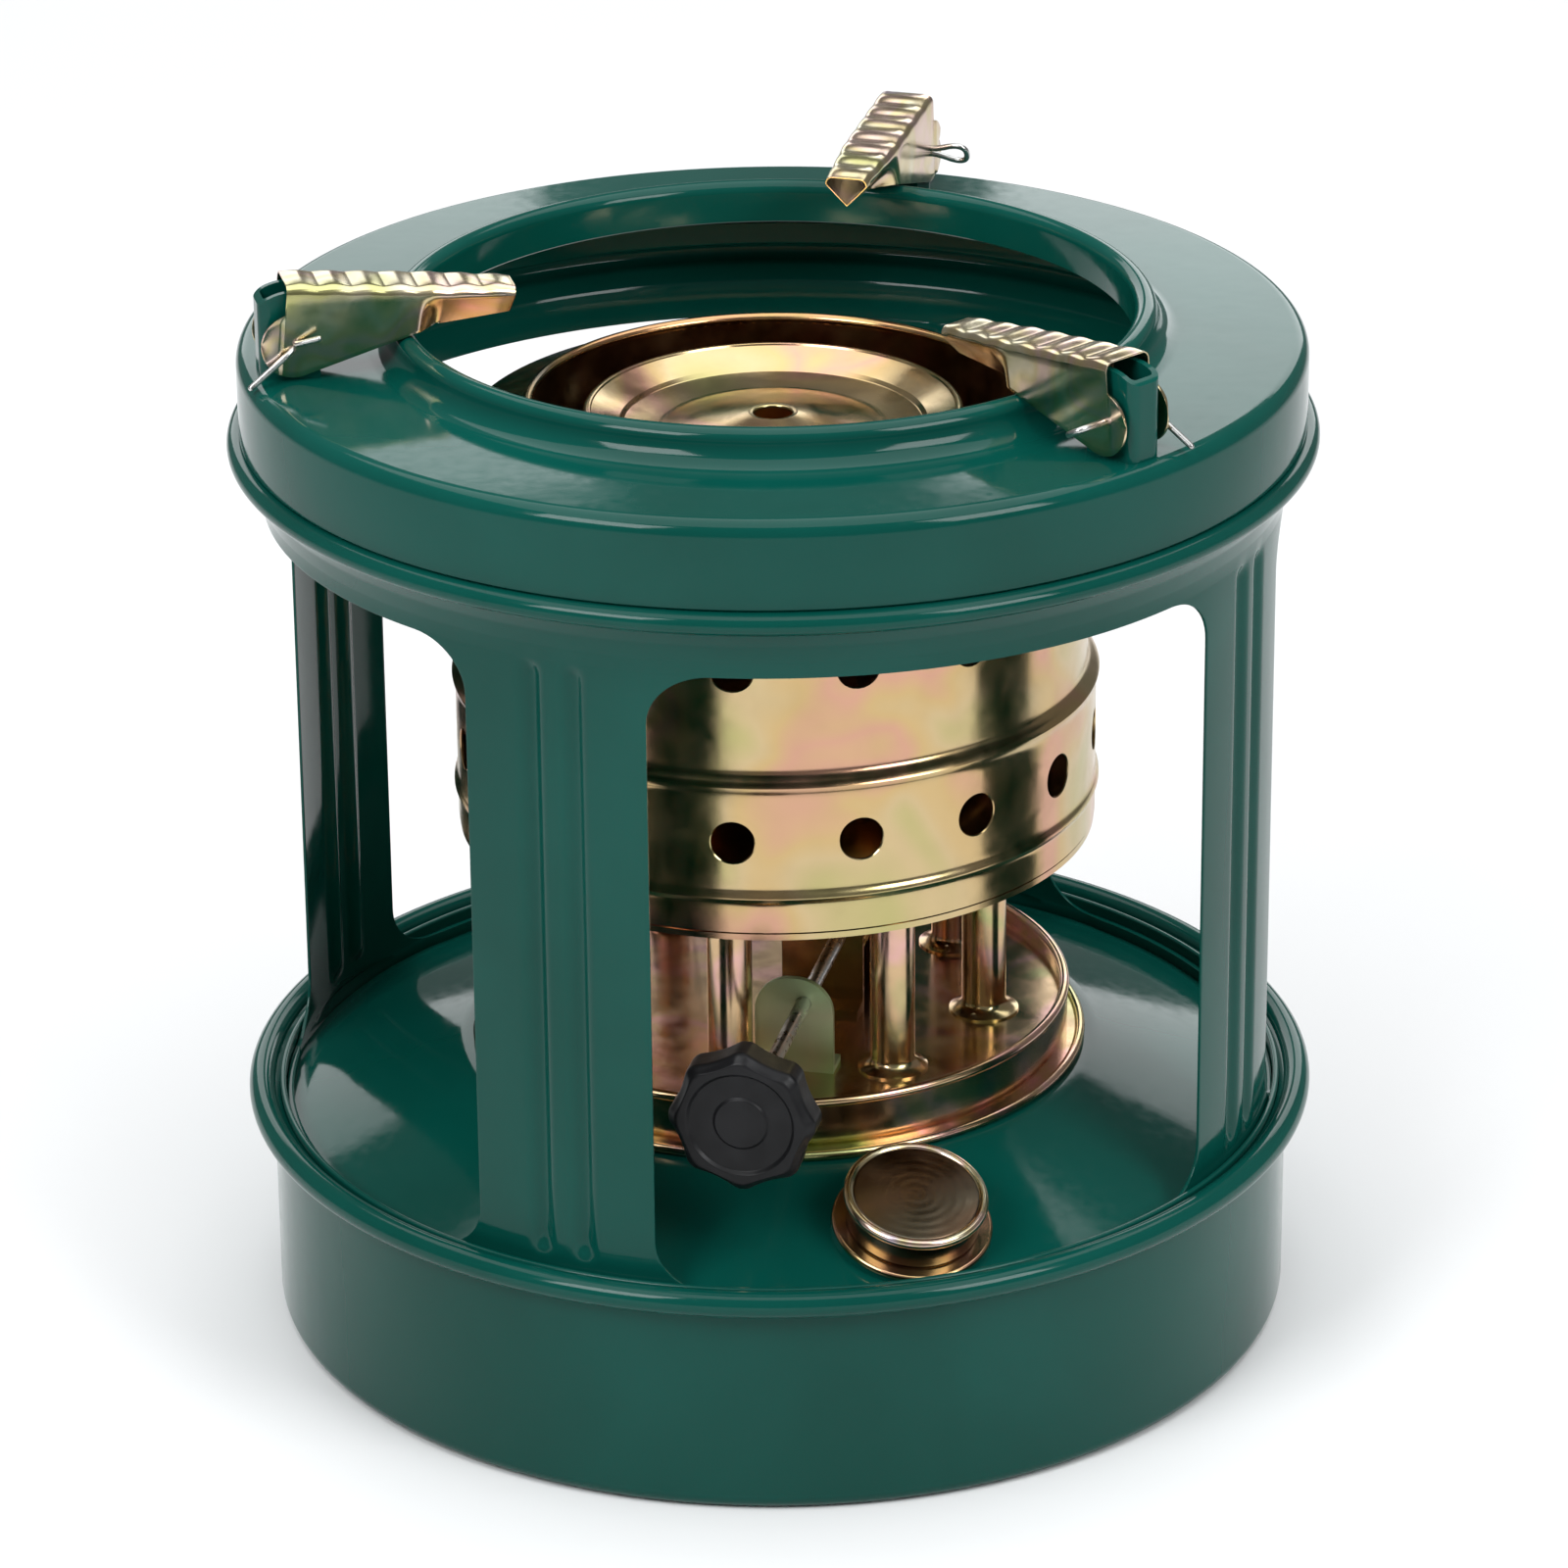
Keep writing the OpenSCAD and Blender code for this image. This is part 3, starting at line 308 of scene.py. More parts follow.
class Nodes:
    """A material's node tree, with short ways to add the nodes that the finishes use."""

    def __init__(self, name: str) -> None:
        """Starts a material with a Principled shader and Object coordinates."""
        self.material = bpy.data.materials.new(name)
        self.material.use_nodes = True
        self.tree = self.material.node_tree
        self.tree.nodes.clear()
        self.shader = self.tree.nodes.new("ShaderNodeBsdfPrincipled")
        out = self.tree.nodes.new("ShaderNodeOutputMaterial")
        self.link(self.shader.outputs["BSDF"], out.inputs["Surface"])
        self.coords = self.tree.nodes.new("ShaderNodeTexCoord").outputs["Object"]

    def link(self, source: Socket, target: Socket) -> None:
        """Joins two sockets."""
        self.tree.links.new(source, target)

    def drive(self, socket: str, source: Socket) -> None:
        """Joins a source to one of the shader's sockets."""
        self.link(source, self.shader.inputs[socket])

    def fix(self, socket: str, value: float) -> None:
        """Sets one of the shader's sockets to a number that is the same all over."""
        self.shader.inputs[socket].default_value = value

    def stretched(self, scale: Sequence[float]) -> Socket:
        """Object coordinates scaled along each axis, for a pattern drawn out one way."""
        node = self.tree.nodes.new("ShaderNodeMapping")
        node.inputs["Scale"].default_value = tuple(scale)
        self.link(self.coords, node.inputs["Vector"])
        return node.outputs["Vector"]

    def noise(
        self,
        scale: float,
        detail: float = 2.0,
        distortion: float = 0.0,
        coords: Optional[Socket] = None,
    ) -> Socket:
        """A noise texture's factor.

        Args:
            scale: patches per metre, about.
            detail: octaves of finer noise.
            distortion: how far the noise swirls.
            coords: other coordinates than the Object ones.

        Returns:
            The factor socket.
        """
        node = self.tree.nodes.new("ShaderNodeTexNoise")
        node.inputs["Scale"].default_value = scale
        node.inputs["Detail"].default_value = detail
        node.inputs["Distortion"].default_value = distortion
        self.link(coords or self.coords, node.inputs["Vector"])
        return node.outputs["Fac"]

    def ramp(
        self, factor: Socket, stops: Sequence[tuple[float, RGB]]
    ) -> Socket:
        """A colour ramp over a factor.

        Args:
            factor: the socket that drives it.
            stops: (position, colour) in order.

        Returns:
            The colour socket.
        """
        node = self.tree.nodes.new("ShaderNodeValToRGB")
        elements = node.color_ramp.elements
        while len(elements) < len(stops):
            elements.new(0.5)
        for element, (position, colour) in zip(elements, stops):
            element.position = position
            element.color = (*colour, 1.0)
        self.link(factor, node.inputs["Fac"])
        return node.outputs["Color"]

    def spread(self, factor: Socket, low: float, high: float) -> Socket:
        """A factor's middle part spread over low to high."""
        node = self.tree.nodes.new("ShaderNodeMapRange")
        for socket, value in zip(("From Min", "From Max", "To Min", "To Max"), (*NOISE_SPAN, low, high)):
            node.inputs[socket].default_value = value
        self.link(factor, node.inputs["Value"])
        return node.outputs["Result"]

    def bump(self, height: Socket, distance: float, strength: float = 1.0) -> None:
        """Bump on the shader's normal, of a height in metres."""
        node = self.tree.nodes.new("ShaderNodeBump")
        node.inputs["Distance"].default_value = distance
        node.inputs["Strength"].default_value = strength
        self.link(height, node.inputs["Height"])
        self.link(node.outputs["Normal"], self.shader.inputs["Normal"])


@dataclass(frozen=True)
class EnamelFinish:
    """Glossy bottle-green stove enamel with a faint orange peel."""

    deep: RGB = (0.001, 0.05, 0.038)
    light: RGB = (0.002, 0.064, 0.05)
    peel_scale: float = 95.0
    gloss: float = 0.19

    def build(self) -> Material:
        """Colour drifts with slow noise, roughness with fine noise, and a fine swell gives the peel."""
        n = Nodes("green_enamel")
        n.drive("Base Color", n.ramp(n.noise(14, 3, 0.4), [(0.35, self.deep), (0.65, self.light)]))
        n.drive("Roughness", n.spread(n.noise(420, 4), 0.06, 0.13))
        n.fix("Specular IOR Level", self.gloss)
        n.bump(n.noise(self.peel_scale, 2), 0.0003, 0.12)
        return n.material


@dataclass(frozen=True)
class ZincFinish:
    """Yellow passivated zinc: a bright metal whose thin film drifts from straw to rose and pale green."""

    name: str = "yellow_zinc"
    straw: RGB = (0.52, 0.365, 0.17)
    rose: RGB = (0.55, 0.305, 0.21)
    green: RGB = (0.4, 0.37, 0.15)
    pale: RGB = (0.52, 0.395, 0.215)
    lilac: RGB = (0.48, 0.33, 0.33)
    patches: float = 27.0
    smooth: float = 0.14
    rough: float = 0.27

    def build(self) -> Material:
        """Swirled noise picks the film's colour; fine drawn-out noise gives rolling marks and roughness."""
        n = Nodes(self.name)
        film = n.noise(self.patches, 1.6, 0.7)
        stops = [
            (0.28, self.green),
            (0.39, self.pale),
            (0.46, self.straw),
            (0.54, self.rose),
            (0.63, self.straw),
            (0.74, self.lilac),
        ]
        n.drive("Base Color", n.ramp(film, stops))
        n.fix("Metallic", 1.0)
        n.drive("Roughness", n.spread(n.noise(160, 4, 0.3), self.smooth, self.rough))
        n.bump(n.noise(300, 3, 0.0, n.stretched((1, 1, 0.25))), 0.0001, 0.12)
        return n.material


@dataclass(frozen=True)
class MetalFinish:
    """A plain metal, such as steel wire or turned brass."""

    name: str
    dark: RGB
    bright: RGB
    smooth: float
    rough: float

    def build(self) -> Material:
        """Colour and roughness drift with noise, with fine drawing marks as bump."""
        n = Nodes(self.name)
        n.drive("Base Color", n.ramp(n.noise(70, 3), [(0.35, self.dark), (0.65, self.bright)]))
        n.fix("Metallic", 1.0)
        n.drive("Roughness", n.spread(n.noise(500, 3), self.smooth, self.rough))
        n.bump(n.noise(1400, 2), 0.00005, 0.15)
        return n.material


@dataclass(frozen=True)
class MouldedFinish:
    """Moulded plastic or rubber with a fine grain."""

    name: str
    dark: RGB
    light: RGB
    smooth: float
    rough: float
    grain: float
    gloss: float = 0.2

    def build(self) -> Material:
        """Colour drifts a little, and a fine grain gives bump and roughness."""
        n = Nodes(self.name)
        n.drive("Base Color", n.ramp(n.noise(120, 2), [(0.35, self.dark), (0.65, self.light)]))
        n.drive("Roughness", n.spread(n.noise(300, 3), self.smooth, self.rough))
        n.fix("Specular IOR Level", self.gloss)
        n.bump(n.noise(self.grain, 3), 0.00008, 0.3)
        return n.material


@dataclass(frozen=True)
class CottonFinish:
    """Plaited cotton cord, off-white with soft yarn fuzz."""

    shade: RGB = (0.62, 0.54, 0.4)
    yarn: RGB = (0.85, 0.79, 0.66)

    def build(self) -> Material:
        """Colour drifts with yarn-sized noise drawn out along the wick, and sheen gives the fuzz."""
        n = Nodes("cotton_wick")
        fibres = n.noise(1500, 4, 0.2, n.stretched((1, 1, 0.2)))
        n.drive("Base Color", n.ramp(fibres, [(0.35, self.shade), (0.62, self.yarn)]))
        n.drive("Roughness", n.spread(fibres, 0.8, 0.95))
        n.fix("Sheen Weight", 0.3)
        n.bump(fibres, 0.0002, 0.4)
        return n.material


class Finishes:
    """One material for each slot, built once."""

    def __init__(self) -> None:
        """Builds every finish."""
        makers = {
            Slot.ENAMEL: EnamelFinish(),
            Slot.ZINC: ZincFinish(),
            Slot.STEEL: MetalFinish("steel", (0.4, 0.4, 0.39), (0.62, 0.62, 0.6), 0.22, 0.4),
            Slot.BRASS: MetalFinish("brass", (0.52, 0.33, 0.11), (0.72, 0.5, 0.2), 0.16, 0.3),
            Slot.PLASTIC: MouldedFinish(
                "black_plastic", (0.004, 0.004, 0.0045), (0.008, 0.008, 0.009), 0.34, 0.46, 900
            ),
            Slot.RUBBER: MouldedFinish("rubber", (0.012, 0.012, 0.012), (0.03, 0.03, 0.029), 0.7, 0.9, 1600),
            Slot.COTTON: CottonFinish(),
        }
        self.materials = {slot: maker.build() for slot, maker in makers.items()}
        # Painted reflection: the guide plate's sage and mint base colours stand for the green tank mirrored
        # in its zinc.
        sage, mint, fawn = (0.45, 0.6, 0.33), (0.54, 0.7, 0.45), (0.54, 0.57, 0.36)
        self.green_reflection_zinc = ZincFinish(
            "green_reflection_zinc", sage, fawn, sage, mint, mint, smooth=0.45, rough=0.6
        ).build()
        # Painted shade: the cap's dark browns stand for the shaded burner underside and the green tank
        # mirrored in its top and side.
        umber, russet, shade_olive = (0.13, 0.108, 0.075), (0.17, 0.11, 0.07), (0.105, 0.1, 0.072)
        self.painted_shade_zinc = ZincFinish("painted_shade_zinc", umber, russet, shade_olive, shade_olive, russet).build()
        # A darker bronze film, painted shade on the sleeves: it stands for the shade seen through the drum's
        # air holes. The gear bracket wears it too.
        bronze, copper = (0.42, 0.28, 0.12), (0.5, 0.27, 0.14)
        self.bronze_and_shade_zinc = ZincFinish("bronze_and_shade_zinc", bronze, copper, umber, bronze, copper).build()
        peach, pink, moss = (0.56, 0.39, 0.22), (0.64, 0.38, 0.33), (0.4, 0.42, 0.18)
        self.rose_zinc = ZincFinish("rose_zinc", peach, pink, moss, peach, pink, patches=45.0).build()
        # A paler film. On the cap's rim bead it is a painted highlight, a lit copy of the cap's zinc beside
        # its painted shade; the pot supports wear the same paler film.
        cream, blush, olive = (0.6, 0.49, 0.27), (0.66, 0.48, 0.41), (0.5, 0.48, 0.21)
        ivory, mauve = (0.66, 0.59, 0.42), (0.6, 0.5, 0.56)
        self.pale_and_highlight_zinc = ZincFinish("pale_and_highlight_zinc", cream, blush, olive, ivory, mauve, patches=70.0).build()

    def dress(self, node: str, slot: Slot, finish: Optional[Material] = None) -> None:
        """Gives a carried-over CAD node its slot's finish, or another one of the same slot."""
        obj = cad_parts[node]
        if not obj.material_slots:
            obj.data.materials.append(None)
        for place in obj.material_slots:
            place.material = finish or self.materials[slot]
        LOG.info("node %s: %s", node, slot.value)

    def piece(
        self,
        name: str,
        surface: Surface,
        body: str,
        slot: Slot,
        replaces: Sequence[str] = (),
        sharp: float = 35.0,
        sheet: float = 0.0,
        edge: float = 0.0,
        closed: bool = True,
        finish: Optional[Material] = None,
    ) -> None:
        """Puts a surface into the scene as a finished piece.

        Args:
            name: the piece's name.
            surface: its points and quads, in millimetres.
            body: the CAD body that it rides on.
            slot: the finish.
            replaces: CAD nodes that it stands for.
            sharp: edges that turn more than this, in degrees, stay sharp.
            sheet: a wall thickness to add inwards, in millimetres.
            edge: a rounding of the wall's cut edges, in millimetres.
            closed: whether the surface is a closed shell, whose faces can be turned outwards.
            finish: another finish of the same slot.
        """
        mesh = bpy.data.meshes.new(name)
        mesh.from_pydata((surface.points * MM).tolist(), [], surface.quads.tolist())
        work = bmesh.new()
        work.from_mesh(mesh)
        bmesh.ops.remove_doubles(work, verts=work.verts, dist=WELD)
        bmesh.ops.dissolve_degenerate(work, edges=work.edges, dist=SLIVER)
        if closed:
            bmesh.ops.recalc_face_normals(work, faces=work.faces)
        work.to_mesh(mesh)
        work.free()
        mesh.shade_smooth()
        mesh.set_sharp_from_angle(angle=math.radians(sharp))
        mesh.materials.append(finish or self.materials[slot])
        obj = bpy.data.objects.new(name, mesh)
        bpy.context.scene.collection.objects.link(obj)
        if sheet > 0:
            wall = obj.modifiers.new("wall", "SOLIDIFY")
            wall.thickness = sheet * MM
            wall.offset = -1.0
            wall.use_even_offset = True
            wall.thickness_clamp = 1.0
        if edge > 0:
            soft = obj.modifiers.new("edge", "BEVEL")
            soft.width = edge * MM
            soft.segments = 2
            soft.limit_method = "ANGLE"
            soft.angle_limit = BEVEL_TURN
        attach(obj, body)
        if replaces:
            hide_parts(*replaces)
        LOG.info("piece %s: %d points, rides %s", name, len(mesh.vertices), body)


@dataclass
class FuelTank:
    """The round tank with its rolled seam, and the coned top that is let into it."""

    finishes: Finishes
    filler: "Filler"
    wall_r: float = 100.2
    sheet: float = 1.2
    foot_corner: float = 3.0
    foot_width: float = 10.0
    foot_rise: float = 1.5
    seam_r: float = 2.6
    seam_centre: Pair = (102.4, 45.0)
    groove: Triple = (94.5, 97.7, 41.6)
    seat: Triple = (52.0, 62.0, 53.0)
    upstand_drop: float = 6.7
    steps: int = 240

    def build(self) -> None:
        """Turns the pan's and the top's outlines and puts the filler's boss on the cone."""
        pan = lathe(self.pan_outline(), self.steps)
        self.finishes.piece("tank_pan_shell", pan, Body.TANK.value, Slot.ENAMEL, ["tank_pan"])
        top = lathe(self.top_outline(), self.steps) + self.boss()
        self.finishes.piece("tank_top_shell", top, Body.TANK.value, Slot.ENAMEL, ["tank_top"])

    def pan_outline(self) -> np.ndarray:
        """The pan's section: floor, foot ring, corner, wall and the rolled seam."""
        inner, (cx, cz) = self.wall_r - self.sheet, self.seam_centre
        foot_in = self.wall_r - self.foot_corner - self.foot_width
        below = rounded(
            (0, self.foot_rise, 0),
            (foot_in, self.foot_rise, 0.6),
            (foot_in + 0.8, 0, 0.5),
            (self.wall_r, 0, self.foot_corner),
            (self.wall_r, cz - self.seam_r - 0.1, 0.5),
            (cx - 0.9, cz - self.seam_r + 0.1, 0),
            closed=False,
        )
        roll = arc(cx, cz, self.seam_r, -90, 170, 28)
        inside = rounded(
            (inner, cz, 0),
            (inner, self.foot_rise + self.sheet, 1.5),
            (0, self.foot_rise + self.sheet, 0),
            closed=False,
        )
        return np.vstack([below, roll, inside])

    def top_outline(self) -> np.ndarray:
        """The top's section: upstand, groove, cone and burner seat, folded from one sheet."""
        cone_out, groove_r, groove_z = self.groove
        well_r, cone_in, seat_z = self.seat
        t = self.sheet
        return rounded(
            (groove_r + t, seat_z - self.upstand_drop, 0.5),
            (groove_r, seat_z - self.upstand_drop, 0.5),
            (groove_r, groove_z, 0.9),
            (cone_out, groove_z, 5.0),
            (cone_in, seat_z, 8.0),
            (well_r, seat_z, 0.4),
            (well_r, seat_z - t, 0.4),
            (cone_in, seat_z - t, 8.0),
            (cone_out, groove_z - t, 5.0),
            (groove_r + t, groove_z - t, 1.8),
        )

    def boss(self) -> Surface:
        """The low pressed boss that the filler's flange lies on."""
        r, h, neck = self.filler.boss_r, self.filler.boss_h, self.filler.neck_r
        root = -self.sheet / 2
        outline = rounded((neck, root, 0), (r + 0.6, root, 0), (r, h, 0.5), (neck, h, 0))
        return lathe(outline, 72).placed(self.filler.place)


@dataclass
class Filler:
    """The filler's neck, flange, cap and seal, square to the cone."""

    finishes: Finishes
    az: float = -2.5
    reach: float = 79.5
    height: float = 46.8615
    tilt: float = 19.3293
    neck_r: float = 11.0
    flange_r: float = 15.25
    flange_t: float = 1.4
    boss_r: float = 14.75
    boss_h: float = 0.8
    neck_h: float = 4.6
    neck_drop: float = 6.0
    neck_t: float = 1.4
    cap_r: float = 12.7
    cap_bead: float = 1.0
    cap_low: float = 2.4
    cap_top: float = 9.6
    cap_inner_r: float = 11.3
    cap_inner_top: float = 8.4
    cap_ring: float = 0.004
    cap_ring_pitch: float = 1.9
    rim_bed: Pair = (0.8, 0.4)
    top_edge: float = 0.95
    top_drop: float = 0.32
    top_points: int = 90

    @property
    def place(self) -> np.ndarray:
        """The filler's frame: on the cone, with +Z along the cone's normal."""
        return turn_about("Z", self.az) @ shift(0, -self.reach, self.height) @ turn_about("X", self.tilt)

    def build(self) -> None:
        """Turns the neck and the cap, and dresses the seal."""
        f, h = self.finishes, self.boss_h
        top = h + self.flange_t + self.neck_h
        neck = rounded(
            (self.neck_r - self.neck_t, h - self.neck_drop, 0.3),
            (self.neck_r, h - self.neck_drop, 0.3),
            (self.neck_r, h, 0.1),
            (self.flange_r, h, 0.6),
            (self.flange_r, h + self.flange_t, 0.7),
            (self.neck_r, h + self.flange_t, 0.5),
            (self.neck_r, top, 0.5),
            (self.neck_r - self.neck_t, top, 0.5),
        )
        turned = lathe(neck, 96).placed(self.place)
        f.piece("filler_neck_turned", turned, Body.TANK.value, Slot.ZINC, ["filler_neck"])
        # The cap's top and side wear the dark browns, a painted reflection of shade.
        cap, cap_body = lathe(self.cap_outline(), 120).placed(self.place), Body.FILLER_CAP.value
        f.piece("filler_cap_pressed", cap, cap_body, Slot.ZINC, ["filler_cap"], finish=f.painted_shade_zinc)
        # The rim bead wears the paler film, a painted highlight on the cap's rim.
        bead = arc(self.cap_r, self.cap_top - self.cap_bead, self.cap_bead, 0, 345, 24)
        rim = lathe(bead, 120).placed(self.place)
        f.piece("filler_cap_rim", rim, cap_body, Slot.ZINC, finish=f.pale_and_highlight_zinc)
        f.dress("cap_seal", Slot.RUBBER)

    def cap_outline(self) -> np.ndarray:
        """The cap's section: a plain side, the rim's bed, and a flat top.

        The top has fine turned rings, a cosine of the radius.

        Returns:
            The section's points, n x 2.
        """
        bed_r, bed_z = self.cap_r - self.rim_bed[0], self.cap_top - self.rim_bed[1]
        bed = [[self.cap_r, self.cap_top - self.cap_bead], [bed_r, bed_z]]
        r = np.linspace(self.cap_r - self.top_edge, 0, self.top_points)
        rings = self.cap_ring * np.cos(TURN * r / self.cap_ring_pitch)
        top = np.stack([r, self.cap_top - self.top_drop + rings], -1)
        side = rounded(
            (0, self.cap_inner_top, 0),
            (self.cap_inner_r, self.cap_inner_top, 0.4),
            (self.cap_inner_r, self.cap_low, 0.3),
            (self.cap_r, self.cap_low, 0.5),
            (self.cap_r, self.cap_top - 2.1 * self.cap_bead, 0.3),
            closed=False,
        )
        return np.vstack([side, bed, top])


@dataclass
class LegFrame:
    """The frame: one sheet cylinder with four windows, grooved legs, a rolled bead and a collar."""

    finishes: Finishes
    leg_r: float = 97.5
    sheet: float = 1.2
    foot_z: float = 41.6
    window_low: float = 44.0
    window_high: float = 168.0
    window_r: float = 10.0
    leg_angle: float = 21.4
    groove_az: float = 2.5
    groove_half: float = 3.6
    groove_depth: float = 1.35
    groove_low: float = 47.6
    groove_high: float = 168.8
    collar_r: float = 100.1
    bead_centre: Pair = (101.9, 180.2)
    bead_r: float = 2.1
    collar_top: float = 187.2
    groove_fade: float = 4.0
    groove_power: float = 1.4
    edge: float = 0.35
    leg_cols: int = 72
    window_cols: int = 26

    def build(self) -> None:
        """Lays the grid over the cylinder, leaves the windows out and gives the sheet its thickness."""
        self.finishes.piece(
            "leg_frame_sheet", self.sheet_surface(), Body.TANK.value, Slot.ENAMEL, ["leg_frame"],
            sheet=self.sheet, edge=self.edge, closed=False,
        )

    def window_half(self, z: np.ndarray) -> np.ndarray:
        """Half the window's width at a height: the full width, less the corner circles near its ends."""
        full = self.leg_r * math.sin(math.radians(45 - self.leg_angle / 2))
        into = np.maximum(self.window_low + self.window_r - z, z - self.window_high + self.window_r)
        into = np.clip(into, 0, self.window_r)
        return full - self.window_r + np.sqrt(self.window_r**2 - into**2)

    def rows(self) -> np.ndarray:
        """The sheet's outer line from the foot to the collar, as (radius, height)."""
        q = np.linspace(0, math.pi / 2, 14)
        low = self.window_low + self.window_r * (1 - np.cos(q))
        high = self.window_high - self.window_r * (1 - np.cos(q[::-1]))
        middle = np.linspace(low[-1], high[0], 90)[1:-1]
        heights = np.concatenate([[self.foot_z, self.foot_z + 1.2], low, middle, high])
        legs = np.stack([np.full(len(heights), self.leg_r), heights], -1)
        (cx, cz), r = self.bead_centre, self.bead_r
        band = rounded(
            (self.leg_r, self.window_high + 0.4, 0),
            (self.leg_r + 0.5, self.window_high + 3.2, 4.0),
            (self.leg_r + 1.6, cz - r - 3.4, 4.0),
            (cx - 1.0, cz - r - 0.3, 1.0),
            (cx - 0.2, cz - r, 0),
            closed=False,
        )
        roll = arc(cx, cz, r, -88, 92, 20)
        collar = rounded(
            (cx - 0.4, cz + r, 0),
            (self.collar_r, cz + r, 0.8),
            (self.collar_r, self.collar_top, 0),
            closed=False,
        )
        return np.vstack([legs, band, roll, collar])

    def sheet_surface(self) -> Surface:
        """Columns follow the window edges: a leg's columns spread over its width at each height.

        Returns:
            The outer sheet, with its windows left out and its grooves pressed in.
        """
        rows = self.rows()
        r, z = rows[:, :1], rows[:, 1:]
        inside = np.clip(z, self.window_low, self.window_high)
        edge = np.degrees(np.arcsin(self.window_half(inside) / self.leg_r))
        u = np.linspace(-1, 1, self.leg_cols + 1)
        w = np.linspace(-1, 1, self.window_cols + 1)[1:-1]
        quarter = np.hstack([45 + u * (45 - edge), 90 + w * edge])
        az = np.hstack([quarter + 90 * k for k in range(4)])
        from_leg = np.mod(az, 90) - 45
        across = (np.abs(from_leg) - self.groove_az) * np.pi / 180 * self.leg_r
        starts = ease(self.groove_low, self.groove_low + self.groove_fade, z)
        fade = starts * (1 - ease(self.groove_high - self.groove_fade, self.groove_high, z))
        swell = (0.5 + 0.5 * np.cos(np.pi * across / self.groove_half)) ** self.groove_power
        press = self.groove_depth * fade * np.where(np.abs(across) < self.groove_half, swell, 0)
        a, rr = np.radians(az), r - press
        points = np.stack([rr * np.sin(a), -rr * np.cos(a), np.broadcast_to(z, a.shape)], -1)
        column = np.arange(az.shape[1]) % quarter.shape[1]
        open_col = column >= self.leg_cols
        level = (rows[1:, 1] + rows[:-1, 1]) / 2
        below_bead = np.arange(len(level)) < np.argmax(rows[:, 0] > self.leg_r + 1e-6)
        open_row = (level > self.window_low) & (level < self.window_high) & below_bead
        return grid_surface(points, False, True, ~(open_row[:, None] & open_col[None, :]))


@dataclass
class TopRing:
    """The lift-off ring: skirt, round corner, plate and the rolled lip round the cooking opening."""

    finishes: Finishes
    skirt_r: float = 101.6
    sheet: float = 1.2
    skirt_z: float = 182.5
    plate_z: float = 199.2
    corner_r: float = 3.0
    opening_r: float = 68.5
    lip_r: float = 2.2
    lip_h: float = 6.6
    lip_drop: float = 8.2
    edge_in: float = 0.25
    edge_up: float = 0.3
    steps: int = 288

    def build(self) -> None:
        """Turns the ring's outer line and gives it its sheet thickness, and dresses the brackets."""
        ring = lathe(self.outline(), self.steps)
        self.finishes.piece("top_ring_sheet", ring, Body.TOP_RING.value, Slot.ENAMEL, ["top_ring"])
        for i in (1, 2, 3):
            self.finishes.dress(f"bracket_{i}", Slot.ENAMEL)

    def outline(self) -> np.ndarray:
        """The ring's section as a closed loop: the outer line, and back along the sheet's inner face."""
        t, lip_z = self.sheet, self.plate_z + self.lip_h - self.lip_r
        lip_c, fillet = self.opening_r + self.lip_r, self.lip_h - self.lip_r
        mid = lip_c + self.lip_r + fillet
        corner = (self.skirt_r - self.corner_r, self.plate_z - self.corner_r)
        low, cut, up = lip_z + self.lip_r - self.lip_drop, self.edge_in, self.edge_up
        outer = [
            [[self.skirt_r - cut, self.skirt_z], [self.skirt_r, self.skirt_z + up]],
            arc(*corner, self.corner_r, 0, 90, 10),
            arc(mid, lip_z, fillet, -90, -180, 14),
            arc(lip_c, lip_z, self.lip_r, 0, 180, 22),
            [[self.opening_r, low + up], [self.opening_r + up, low]],
        ]
        inner = [
            [[self.opening_r + t - up, low], [self.opening_r + t, low + up]],
            arc(lip_c, lip_z, self.lip_r - t, 180, 0, 14),
            arc(mid, lip_z, fillet + t, -180, -90, 14),
            arc(*corner, self.corner_r - t, 90, 0, 8),
            [[self.skirt_r - t, self.skirt_z + up], [self.skirt_r - t + cut, self.skirt_z]],
        ]
        return np.vstack([np.asarray(part, float) for part in outer + inner])


